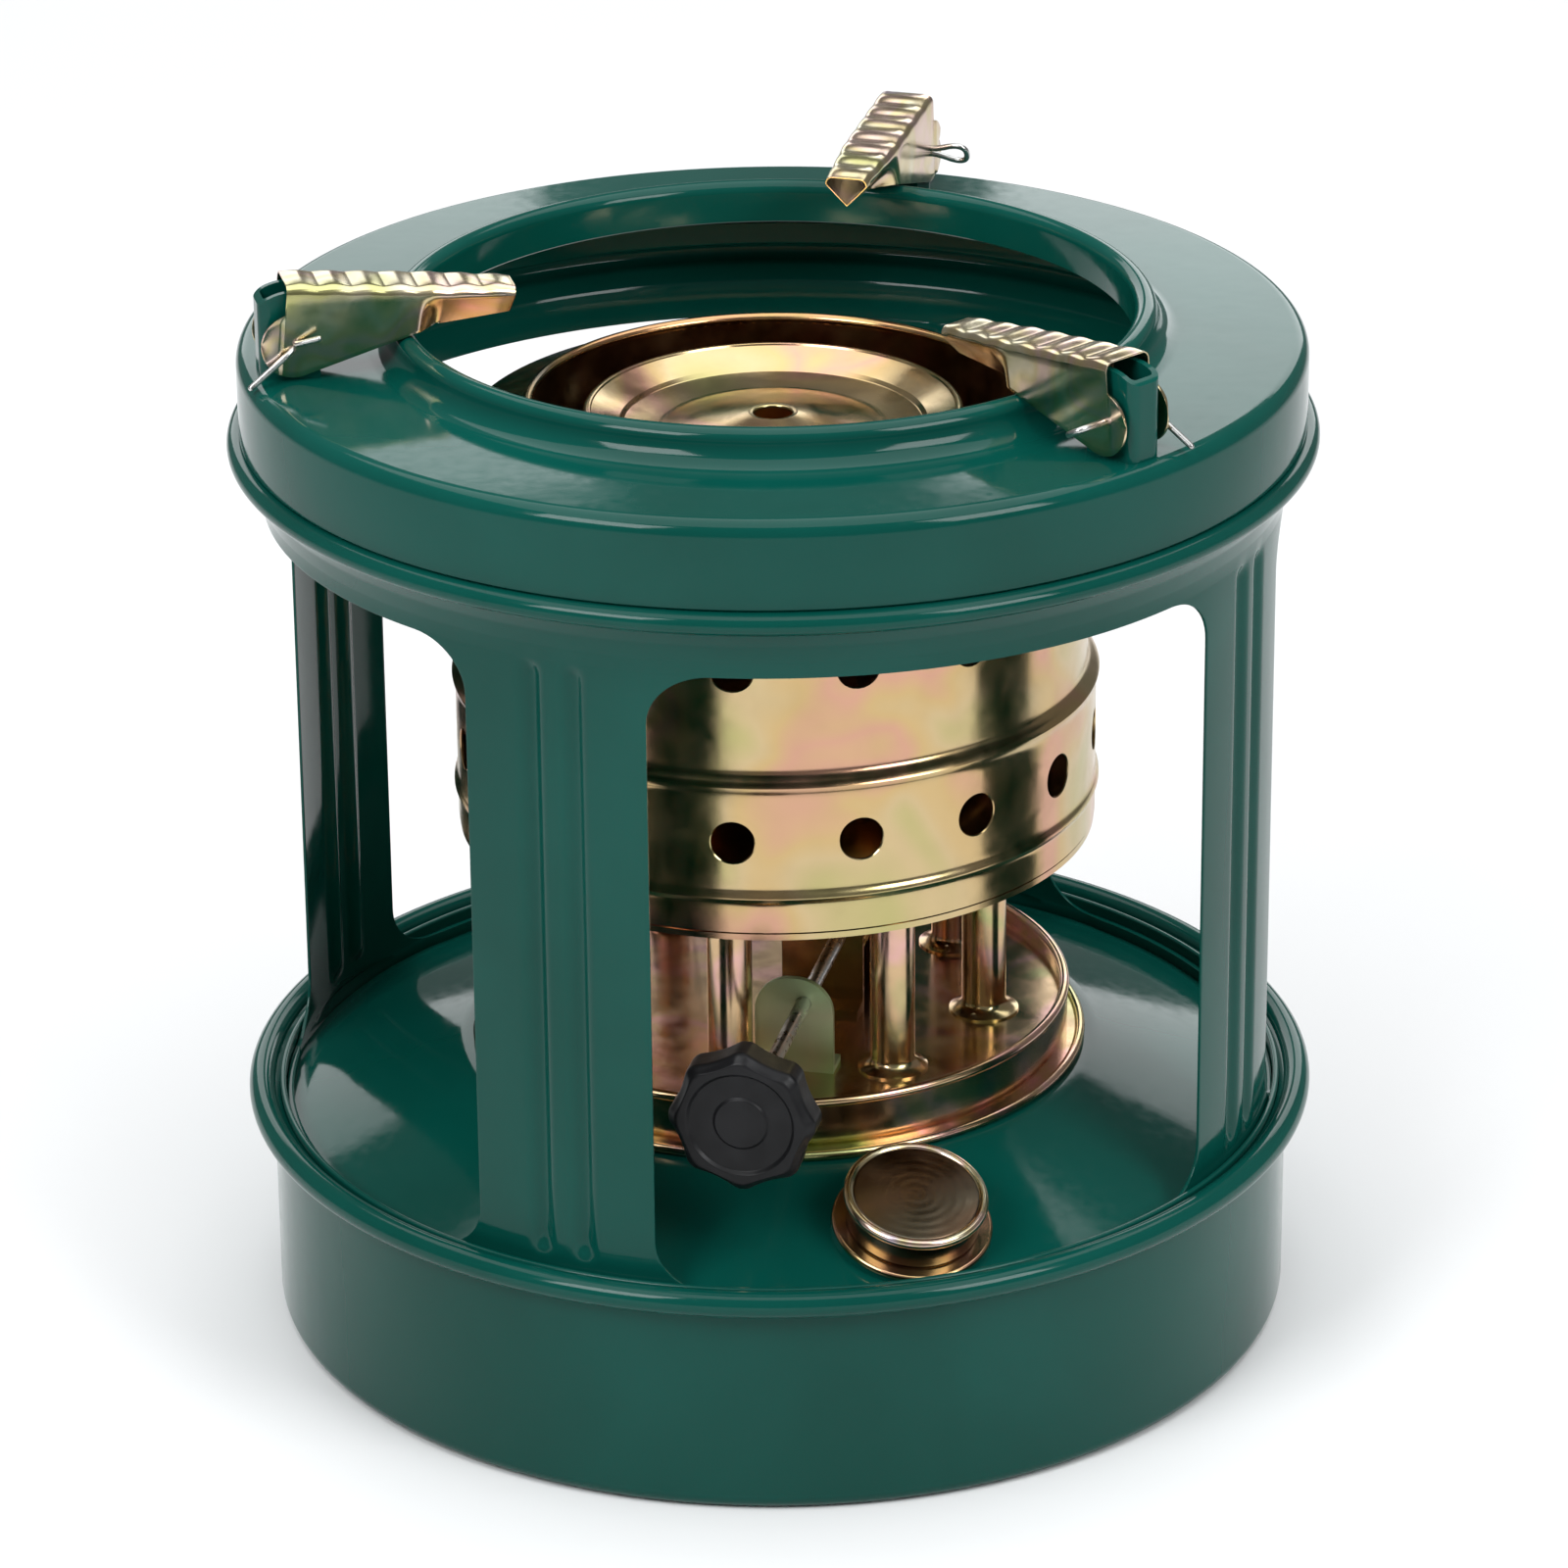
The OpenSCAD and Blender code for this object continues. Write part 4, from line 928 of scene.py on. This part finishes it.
@dataclass
class PotSupports:
    """Three folded channels on split pins: ears, ribbed web and a pinched nose."""

    finishes: Finishes
    first_az: float = 22.5
    pivot_r: float = 92.3
    pivot_z: float = 206.2
    tilt: float = 5.5
    ear_r: float = 6.2
    width: float = 10.6
    tip_width: float = 8.0
    sheet: float = 1.0
    web_top: float = 11.2
    back: float = 2.0
    nose_start: float = 25.5
    tip: float = 41.5
    keel_start: float = 2.7
    keel_tip: float = 5.7
    edge_slope: float = 22.1
    ribs: int = 7
    rib_h: float = 0.5
    rib_sink: float = 0.1
    rib_fade: float = 0.35
    rib_end: float = 0.5
    rib_power: float = 0.8
    nose_half: float = 2.5
    edge: float = 0.2
    bend: float = 1.3
    pin_end: float = 6.25
    wire_r: float = 0.6
    eye_r: float = 2.1
    eye_reach: float = 6.6
    eye_turns: Triple = (-30.0, 60.0, 60.0)
    long_leg: float = 10.6
    short_leg: float = 4.6
    long_way: Triple = (0.801, 0.208, -0.561)
    short_way: Triple = (-0.851, 0.423, 0.31)
    eye_power: float = 0.8
    bend_start: float = 1.5
    throat: float = 0.6

    def build(self) -> None:
        """Folds each channel and threads each pin."""
        for i in (1, 2, 3):
            upright = turn_about("Z", self.first_az + 120 * (i - 1) - 90)
            upright = upright @ shift(self.pivot_r, 0, self.pivot_z)
            channel = self.channel().placed(upright @ turn_about("Y", -self.tilt))
            self.finishes.piece(
                f"pot_support_{i}_fold", channel, f"support_{i}", Slot.ZINC, [f"pot_support_{i}"],
                sheet=self.sheet, edge=self.edge, closed=False, sharp=50, finish=self.finishes.pale_and_highlight_zinc,
            )
            pin = self.wire(self.eye_turns[i - 1]).placed(upright)
            self.finishes.piece(
                f"split_pin_{i}_wire", pin, Body.TOP_RING.value, Slot.STEEL, [f"split_pin_{i}"]
            )

    def lower_edge(self, x: np.ndarray) -> tuple[np.ndarray, np.ndarray]:
        """The lower edge at each x: how far it leans in to the keel, and its height.

        Args:
            x: places along the channel, outwards positive.

        Returns:
            The lean from 0, upright, to 1, on the keel, and the height.
        """
        slope = math.radians(self.edge_slope)
        touch = -self.ear_r * math.sin(slope)
        line = -self.ear_r * math.cos(slope) + (touch - x) * math.tan(slope)
        ear = -np.sqrt(np.clip(self.ear_r**2 - x**2, 0, None))
        wall = np.where(x > touch, ear, line)
        keel = np.interp(-x, [self.nose_start, self.tip], [self.keel_start, self.keel_tip])
        lean = ease(self.nose_start - self.nose_half, self.nose_start + self.nose_half, -x)
        return lean, wall * (1 - lean) + keel * lean

    def channel(self) -> Surface:
        """Sections across the channel: a web with ribs, round bends, and walls down to the lower edge.

        Returns:
            The channel's outer face, open below and at both ends.
        """
        over, past = np.linspace(-self.tip, -self.back, 150), np.linspace(-self.back, self.back, 16)
        x = np.concatenate([over, past[1:]])
        half = np.interp(-x, [self.nose_start, self.tip], [self.width / 2, self.tip_width / 2])[:, None]
        lean, low = self.lower_edge(x)
        a = np.linspace(0, math.pi / 2, 6)
        bend_y, bend_z = self.bend * (np.sin(a) - 1), self.bend * (np.cos(a) - 1)
        flat = np.linspace(0, 1, 7)[1:]
        top = self.web_top - self.rib_sink
        reach = math.sqrt(self.ear_r**2 - self.back**2)
        join = (top - self.bend - reach) / (top - self.bend + reach)
        fall = np.concatenate([[join / 2], np.linspace(join, 1, 10)])
        pitch = (self.tip + self.back) / self.ribs
        phase = np.mod(self.back - x, pitch) / pitch - 0.5
        crest = (self.rib_h * (0.5 + 0.5 * np.cos(phase * TURN)) ** self.rib_power)[:, None]
        down_y = half * (1 - lean[:, None] * fall)
        down_z = (top - self.bend) * (1 - fall) + low[:, None] * fall
        round_y = np.broadcast_to(half + bend_y, (len(x), len(a)))[:, 1:]
        right_y = np.hstack([(half - self.bend) * flat, round_y, down_y])
        right_z = np.hstack(
            [
                top + crest * (1 - self.rib_fade * flat**3),
                top + bend_z[1:] + self.rib_end * crest * np.cos(a[1:]) ** 0.5,
                down_z,
            ]
        )
        y = np.hstack([-right_y[:, ::-1], np.zeros((len(x), 1)), right_y])
        z = np.hstack([right_z[:, ::-1], top + crest, right_z])
        xx = np.broadcast_to(x[:, None], y.shape)
        fold = grid_surface(np.stack([xx, y, z], -1))
        return fold + self.ear(1) + self.ear(-1)

    def ear(self, side: int) -> Surface:
        """The part of a wall past the web's end, in strips from the ear circle's lower arc to its upper one.

        Args:
            side: 1 or -1, the wall that it belongs to.

        Returns:
            The ear's outer face.
        """
        a = np.linspace(0, math.acos(self.back / self.ear_r), 14)[::-1]
        x = self.ear_r * np.cos(a)
        reach = self.ear_r * np.sin(a)
        z = reach[:, None] * np.linspace(-1, 1, 10)
        y = np.full(z.shape, side * self.width / 2)
        points = np.stack([np.broadcast_to(x[:, None], z.shape), y, z], -1)
        return grid_surface(points if side < 0 else points[:, ::-1])

    def wire(self, eye_turn: float) -> Surface:
        """One wire bent double: a long leg, the way through to a drop-shaped eye and back, and a short leg.

        The eye's reach goes with the sine of its angle, its width with the sine of twice the angle.

        Args:
            eye_turn: the turn of the eye's plane about the pin, in degrees.

        Returns:
            The wire, with round ends.
        """
        turn = math.radians(eye_turn)
        d = np.array([math.cos(turn), 0, -math.sin(turn)])
        y = np.array([0.0, 1.0, 0.0])
        long_leg = self.long_leg * np.array(self.long_way)
        short_leg = self.short_leg * np.array(self.short_way)
        out, back = self.pin_end * y + self.wire_r * d, self.pin_end * y - self.wire_r * d
        a = np.linspace(0.1, 0.9, 30)[:, None] * math.pi
        across = np.sin(2 * a)
        wide = self.eye_r * np.sign(across) * np.abs(across) ** self.eye_power
        eye = -(self.pin_end + self.eye_reach * np.sin(a)) * y + wide * d
        near, far = self.bend_start * y, (2 * self.pin_end - self.throat) * y
        path = np.vstack(
            [out + long_leg, out + 0.5 * long_leg, out, out - near, out - far]
            + [eye]
            + [back - far, back - near, back, back + 0.5 * short_leg, back + short_leg]
        )
        return tube(softened(path, 2), self.wire_r, (math.sin(turn), 0, math.cos(turn)))


@dataclass
class Burner:
    """The burner: base, tubes, tube plate, perforated drum and sleeves, and the flame dish."""

    finishes: Finishes
    seat: float = 101.5
    gap: float = 0.2
    sheet: float = 0.8
    low_r: float = 62.0
    high_r: float = 60.4
    bead_z: float = 109.1
    low_holes_z: float = 120.1
    step_z: float = 131.5
    high_holes_z: float = 154.0
    shoulder_z: float = 179.0
    lip: Pair = (47.1, 184.0)
    holes: int = 16
    hole_d: float = 8.3
    hole_az: float = -5.7
    cell_half: float = 6.5
    dish_z: float = 180.5
    dish_r: float = 36.3
    dish_wall: float = 2.6
    dish_deep: float = 3.5
    dish_groove_r: float = 21.5
    dish_crown: float = 3.2
    dish_step: Pair = (29.0, 1.4)
    dish_step_half: float = 0.4
    dish_hole_r: float = 3.7
    dish_bead: float = 1.0
    tube_az: float = 11.5
    tube_circle: float = 41.3
    tube_r: float = 4.3
    tube_bore: float = 3.7
    tube_low: float = 57.0
    tube_top: float = 104.0
    floor: float = 61.2
    collar_r: float = 6.8
    collar_t: float = 0.5
    collar_h: float = 2.2
    collar_power: float = 2.4
    mouth: float = 2.0
    bead: Pair = (0.75, 0.9)
    step_bead: Pair = (0.7, 1.3)
    step_span: Pair = (-0.4, 2.6)

    def build(self) -> None:
        """Builds the drum and the dish, and dresses the other nodes."""
        f = self.finishes
        f.piece("outer_drum_sheet", self.drum(), Body.OUTER_BURNER.value, Slot.ZINC, ["outer_drum"])
        dish = lathe(self.dish_outline(), 160)
        f.piece("flame_dish_pressed", dish, Body.INNER_BURNER.value, Slot.ZINC, ["flame_dish"])
        f.dress("burner_base", Slot.ZINC, f.rose_zinc)
        f.dress("tube_plate", Slot.ZINC)
        # The sleeves' darker bronze is painted shade for the drum's air holes.
        for node in ("outer_sleeve", "inner_sleeve"):
            f.dress(node, Slot.ZINC, f.bronze_and_shade_zinc)
        for i in range(1, 9):
            place = turn_about("Z", self.tube_az + 45 * (i - 1)) @ shift(0, -self.tube_circle, 0)
            drawn = lathe(self.tube_outline(), 56).placed(place)
            f.piece(
                f"wick_tube_{i}_drawn", drawn, Body.TANK.value, Slot.ZINC, [f"wick_tube_{i}"],
                finish=f.rose_zinc,
            )

    def tube_outline(self) -> np.ndarray:
        """A wick tube's section: a thin collar that sweeps up into the tube, and a rounded mouth."""
        rise = np.linspace(0, 1, 9)
        sweep = self.tube_r + (self.collar_r - 0.3 - self.tube_r) * (1 - rise) ** self.collar_power
        trumpet = np.stack([sweep, self.floor + self.collar_t + self.collar_h * rise], -1)
        foot = [[self.tube_bore, self.tube_low], [self.tube_r, self.tube_low], [self.tube_r, self.floor]]
        collar = [[self.collar_r, self.floor], [self.collar_r, self.floor + self.collar_t - 0.1]]
        mouth = rounded(
            (self.tube_r, self.tube_top - self.mouth, 0),
            (self.tube_r, self.tube_top, 0.25),
            (self.tube_bore, self.tube_top, 0.25),
            (self.tube_bore, self.tube_top - self.mouth, 0),
            closed=False,
        )
        return np.vstack([foot, collar, trumpet, mouth])

    def band(self, radius: float, middle: float) -> PerforatedBand:
        """The perforated band about a row of air holes."""
        low, high = middle - self.cell_half, middle + self.cell_half
        return PerforatedBand(radius, self.sheet, low, high, self.holes, self.hole_d, self.hole_az)

    def drum(self) -> Surface:
        """The drum's sheet: two perforated bands, joined by turned strips for beads, step and shoulder."""
        low, high = self.band(self.low_r, self.low_holes_z), self.band(self.high_r, self.high_holes_z)
        t, foot = self.sheet, self.seat + self.gap
        z = np.linspace(foot + 0.2, low.low, 26)
        bulge = self.bead[0] * np.exp(-(((z - self.bead_z) / self.bead[1]) ** 2))
        outer = np.stack([self.low_r + bulge, z], -1)
        inner = np.stack([np.full(len(z), self.low_r - t), z], -1)[::-1]
        bottom = np.vstack([inner, [[self.low_r - t + 0.2, foot], [self.low_r - 0.2, foot]], outer])
        z = np.linspace(low.high, high.low, 40)
        turn = ease(self.step_z + self.step_span[0], self.step_z + self.step_span[1], z)
        bulge = self.step_bead[0] * np.exp(-(((z - self.step_z) / self.step_bead[1]) ** 2))
        step = self.low_r + (self.high_r - self.low_r) * turn + bulge
        step[[0, -1]] = self.low_r, self.high_r
        strip_out = np.stack([step, z], -1)
        strip_in = np.stack([self.low_r - t + (self.high_r - self.low_r) * turn, z], -1)
        strip_in[[0, -1], 0] = self.low_r - t, self.high_r - t
        lip_r, lip_z = self.lip
        over = rounded(
            (self.high_r, high.high, 0),
            (self.high_r, self.shoulder_z - 0.4, 1.6),
            (self.high_r - 1.7, self.shoulder_z + 1.6, 1.6),
            (lip_r, lip_z, 0.25),
            (lip_r, lip_z - t, 0.25),
            (self.high_r - 2.4, self.shoulder_z + 0.8, 1.0),
            (self.high_r - t, self.shoulder_z - 0.8, 1.0),
            (self.high_r - t, high.high, 0),
            closed=False,
        )
        sheets = low.surface() + high.surface() + low.joining(bottom)
        return sheets + low.joining(strip_out) + low.joining(strip_in) + high.joining(over)

    def dish_outline(self) -> np.ndarray:
        """The dish's section: a coned middle with a hole, a groove, a stepped slope and the rolled rim."""
        z, t, hole, half = self.dish_z, self.sheet, self.dish_hole_r, self.dish_step_half
        rim, rim_r = z + self.dish_wall, self.dish_r - self.dish_bead
        low = rim - self.dish_deep
        crown = low + self.dish_crown
        step_r, step = self.dish_step[0], low + self.dish_step[1]
        slope = [
            (hole + 1.0, crown, 0.8),
            (self.dish_groove_r, low, 5.0),
            (step_r - half, step - half, 0.5),
            (step_r + half, step + half, 0.4),
        ]
        bore, lip = [(hole, crown - t, 0), (hole, crown - 0.1, 0.4)], (rim_r - 0.6, rim + 0.6, 0)
        upper = rounded(*bore, *slope, lip, closed=False)
        roll = arc(rim_r, rim, self.dish_bead, 115, 0, 14)
        wall = [(self.dish_r, z, 0.2), (self.dish_r - t, z, 0.2), (self.dish_r - t, rim - t, 0.4)]
        below = [(r, h - t, soft) for r, h, soft in slope[::-1]]
        under = rounded(*wall, (rim_r - 0.4, rim - t, 0.4), *below, (hole, crown - t, 0), closed=False)
        return np.vstack([upper, roll, [[self.dish_r, z + 0.3]], under[1:-1]])


@dataclass
class WickControl:
    """The knob, shaft, pinion and rack that raise the wicks, and the plates that carry the shaft."""

    finishes: Finishes
    az: float = -33.5
    offset: float = 13.0
    height: float = 75.6
    knob_face: float = 89.0
    knob_depth: float = 8.0
    knob_r: float = 14.0
    flutes: int = 8
    flute_r: float = 18.0
    flute_depth: float = 1.2
    flute_blend: float = 6.0
    flute_steps: int = 24
    face_r: float = 10.0
    disc_r: float = 4.9
    bush_r: float = 5.2
    bush_bore: float = 1.53
    bush_back: float = 71.5
    bush_end: float = 85.0
    bush_groove: tuple[Pair, ...] = ((0.0, 1.5), (0.4, 1.8), (0.4, 2.4), (0.0, 2.7))
    fixed_gap: float = 0.03

    def build(self) -> None:
        """Builds the knob and its bush, and dresses the other pieces."""
        f = self.finishes
        place = turn_about("Z", self.az) @ shift(self.offset, 0, self.height) @ turn_about("X", 90)
        knob, bush = self.knob().placed(place), lathe(self.bush(), 72).placed(place)
        f.piece("control_knob_moulded", knob, Body.CONTROL.value, Slot.PLASTIC, ["control_knob"], sharp=40)
        f.piece("knob_bush_turned", bush, Body.CONTROL.value, Slot.BRASS, ["knob_bush"])
        for node in ("pinion", "knob_screw", "lifter_rack"):
            f.dress(node, Slot.BRASS)
        for node in ("control_shaft", "carrier_disc"):
            f.dress(node, Slot.STEEL)
        # The guide plate's green is a painted reflection of the green tank.
        f.dress("guide_plate", Slot.ZINC, f.green_reflection_zinc)
        f.dress("gear_bracket", Slot.ZINC, f.bronze_and_shade_zinc)

    def bush(self) -> np.ndarray:
        """The brass bush's section: a bored bar with a broken back edge and a turned groove."""
        back, end, r = self.bush_back, self.bush_end, self.bush_r
        groove = [(r - cut, back + up, 0.2) for cut, up in self.bush_groove]
        bore = [(self.bush_bore, end, 0), (self.bush_bore, back, 0.3)]
        return rounded(*bore, (r, back, 0.6), *groove, (r, end, 0.2))

    def knob(self) -> Surface:
        """The knob's section turned about its axis; wide round scallops cut the grip's radius back.

        A scallop's edge is the near side of a circle outside the grip: D cos a - sqrt(S^2 - D^2 sin^2 a).

        Returns:
            The knob, its axis along +Z and its face up.
        """
        face, back = self.knob_face, self.knob_face - self.knob_depth
        section = rounded(
            (0, self.bush_end + self.fixed_gap, 0),
            (self.bush_r + self.fixed_gap, self.bush_end + self.fixed_gap, 0.1),
            (self.bush_r + self.fixed_gap, back, 0.3),
            (self.knob_r - 0.8, back, 0.5),
            (self.knob_r, back + 1.0, 0.6),
            (self.knob_r, face - 1.6, 1.3),
            (self.knob_r - 1.7, face, 1.0),
            (self.face_r + 0.3, face, 0.3),
            (self.face_r - 0.3, face - 0.7, 0.3),
            (self.disc_r + 0.4, face - 0.9, 0.3),
            (self.disc_r - 0.1, face - 0.4, 0.3),
            (self.disc_r - 1.2, face - 0.5, 0.4),
            (0, face - 0.7, 0),
            closed=False,
        )
        along = np.concatenate([[0], np.cumsum(np.linalg.norm(np.diff(section, axis=0), axis=1))])
        fine = np.unique(np.concatenate([along, np.arange(0, along[-1], 0.5)]))
        r = np.interp(fine, along, section[:, 0])[:, None]
        z = np.interp(fine, along, section[:, 1])[:, None]
        count = self.flutes * self.flute_steps
        a = np.arange(count) * TURN / count
        off = np.mod(a, TURN / self.flutes) - math.pi / self.flutes
        reach = self.knob_r + self.flute_r - self.flute_depth
        scallop = reach * np.cos(off) - np.sqrt(self.flute_r**2 - (reach * np.sin(off)) ** 2)
        cut = np.logaddexp(0, (self.knob_r - scallop) * self.flute_blend) / self.flute_blend
        grip = ease(self.face_r + 0.6, self.knob_r - 0.4, r)
        rr = r - np.minimum(cut, self.flute_depth) * grip
        return grid_surface(
            np.stack([rr * np.cos(a), rr * np.sin(a), np.broadcast_to(z, rr.shape)], -1), False, True
        )


@dataclass
class Wicks:
    """Eight plaited cotton wicks on a circle, each in its tube and the carrier disc."""

    finishes: Finishes
    first_az: float = 11.5
    circle_r: float = 41.3
    low: float = 6.0
    high: float = 104.0
    radius: float = 3.3
    plait_pitch: float = 7.0
    strands: int = 6
    plait_depth: float = 0.32
    plait_power: float = 0.6
    end: float = 0.7
    dome_r: Triple = (0.0, 0.45, 0.85)
    dome_h: Triple = (0.0, 0.08, 0.3)
    rows: int = 300
    sides: int = 36

    def build(self) -> None:
        """Plaits each wick in place of its plain solid."""
        for i in range(1, 9):
            place = turn_about("Z", self.first_az + 45 * (i - 1)) @ shift(0, -self.circle_r, 0)
            wick = self.plait().placed(place)
            self.finishes.piece(
                f"wick_{i}_plait", wick, Body.WICK_LIFTER.value, Slot.COTTON, [f"wick_{i}"], sharp=80
            )

    def plait(self) -> Surface:
        """Two sets of strands wind opposite ways; the radius at a point is that of the strand on top.

        Returns:
            The wick along +Z, closed with low domes.
        """
        z = np.linspace(self.low + self.end, self.high - self.end, self.rows)[:, None]
        a = np.arange(self.sides) * TURN / self.sides
        wind = self.strands / 2 * a
        climb = z * TURN / self.plait_pitch
        one, two = np.abs(np.cos(wind + climb)), np.abs(np.cos(wind - climb))
        r = self.radius - self.plait_depth * (1 - np.maximum(one, two) ** self.plait_power)
        body = np.stack([r * np.cos(a), r * np.sin(a), np.broadcast_to(z, r.shape)], -1)
        tips = []
        for row, level, way in ((body[0], self.low, 1), (body[-1], self.high, -1)):
            scale = np.array(self.dome_r)[:, None, None]
            dome = row * np.concatenate([np.broadcast_to(scale, (3, 1, 2)), np.ones((3, 1, 1))], -1)
            dome[..., 2] = level + way * np.array(self.dome_h)[:, None]
            tips.append(dome)
        return grid_surface(np.concatenate([tips[0], body, tips[1][::-1]]), False, True)


@dataclass(frozen=True)
class Lamp:
    """A soft rectangular lamp in millimetres and watts, with -Y towards the camera."""

    name: str
    at: Triple
    to: Triple
    wide: float
    tall: float
    watts: float


@dataclass(frozen=True)
class Studio:
    """Pale floor, soft light and a long-lens camera at the photo's angle."""

    az: float = -20.5
    camera_at: Triple = (1.418, -1204.563, 626.606)
    look_down: float = 23.397
    roll: float = -0.531
    focal_px: float = 6866.3
    image_px: float = 1600.0
    sensor: float = 36.0
    daylight: RGB = (0.97, 0.985, 1.0)
    sky: float = 0.2
    floor_half: float = 3000.0
    lamps: tuple[Lamp, ...] = (
        Lamp("front_left", (-650, -800, 900), (0, 0, 90), 500, 500, 9.0),
        Lamp("front_right", (750, -700, 800), (0, 0, 90), 450, 500, 7.0),
        Lamp("overhead", (0, 100, 1500), (0, 0, 0), 2000, 2000, 28.0),
        Lamp("back_right", (415, 1500, 640), (0, 0, 200), 640, 620, 3.1),
        Lamp("back_left", (-425, 1500, 640), (0, 0, 200), 640, 620, 2.6),
    )

    def build(self) -> None:
        """Sets the camera, the floor, the lights and the world."""
        self.camera()
        self.floor()
        for lamp in self.lamps:
            self.light(lamp)
        world = bpy.data.worlds.new("studio")
        world.use_nodes = True
        sky = world.node_tree.nodes["Background"]
        sky.inputs["Color"].default_value = (1.0, 1.0, 1.0, 1.0)
        sky.inputs["Strength"].default_value = self.sky
        bpy.context.scene.world = world
        bpy.context.scene.view_settings.view_transform = "Standard"

    def camera(self) -> None:
        """Places the camera by the fitted view, turned into the object's frame."""
        data = bpy.data.cameras.new("photo_view")
        data.sensor_width = self.sensor
        data.lens = self.focal_px * self.sensor / self.image_px
        data.clip_end = 20.0
        obj = bpy.data.objects.new("photo_view", data)
        x, y, z = self.camera_at
        place = Matrix.Rotation(math.radians(self.az), 4, "Z") @ Matrix.Translation((x * MM, y * MM, z * MM))
        place = place @ Matrix.Rotation(math.radians(90 - self.look_down), 4, "X")
        obj.matrix_world = place @ Matrix.Rotation(math.radians(self.roll), 4, "Z")
        bpy.context.scene.collection.objects.link(obj)
        bpy.context.scene.camera = obj

    def floor(self) -> None:
        """A wide pale floor under the foot, on a grid of two parameters."""
        u = np.linspace(-self.floor_half, self.floor_half, 3)
        points = np.stack([*np.meshgrid(u, u, indexing="ij"), np.zeros((3, 3))], -1)
        grid = grid_surface(points)
        mesh = bpy.data.meshes.new("floor")
        mesh.from_pydata((grid.points * MM).tolist(), [], grid.quads[:, ::-1].tolist())
        n = Nodes("floor_paper")
        shades = [(0.3, (0.78, 0.78, 0.78)), (0.7, (0.81, 0.81, 0.81))]
        n.drive("Base Color", n.ramp(n.noise(3, 2), shades))
        n.fix("Roughness", 0.9)
        mesh.materials.append(n.material)
        obj = bpy.data.objects.new("floor", mesh)
        bpy.context.scene.collection.objects.link(obj)

    def light(self, lamp: Lamp) -> None:
        """Hangs a lamp in the camera's frame of azimuth and turns it to the point that it faces.

        Args:
            lamp: its name, place, aim, size and power.
        """
        data = bpy.data.lights.new(lamp.name, "AREA")
        data.shape = "RECTANGLE"
        data.size, data.size_y, data.energy = lamp.wide * MM, lamp.tall * MM, lamp.watts
        data.color = self.daylight
        obj = bpy.data.objects.new(lamp.name, data)
        turn = Matrix.Rotation(math.radians(self.az), 4, "Z")
        start = Matrix.Translation([c * MM for c in lamp.at]).to_translation()
        aim = Matrix.Translation([c * MM for c in lamp.to]).to_translation() - start
        face = aim.to_track_quat("-Z", "Y").to_matrix().to_4x4()
        obj.matrix_world = turn @ Matrix.Translation(start) @ face
        bpy.context.scene.collection.objects.link(obj)


def main() -> None:
    """Builds every sub-assembly in order, then the studio."""
    logging.basicConfig(level=logging.INFO, format="%(name)s: %(message)s")
    finishes = Finishes()
    filler = Filler(finishes)
    FuelTank(finishes, filler).build()
    filler.build()
    LegFrame(finishes).build()
    TopRing(finishes).build()
    PotSupports(finishes).build()
    Burner(finishes).build()
    WickControl(finishes).build()
    Wicks(finishes).build()
    Studio().build()


if __name__ == "__main__":
    main()
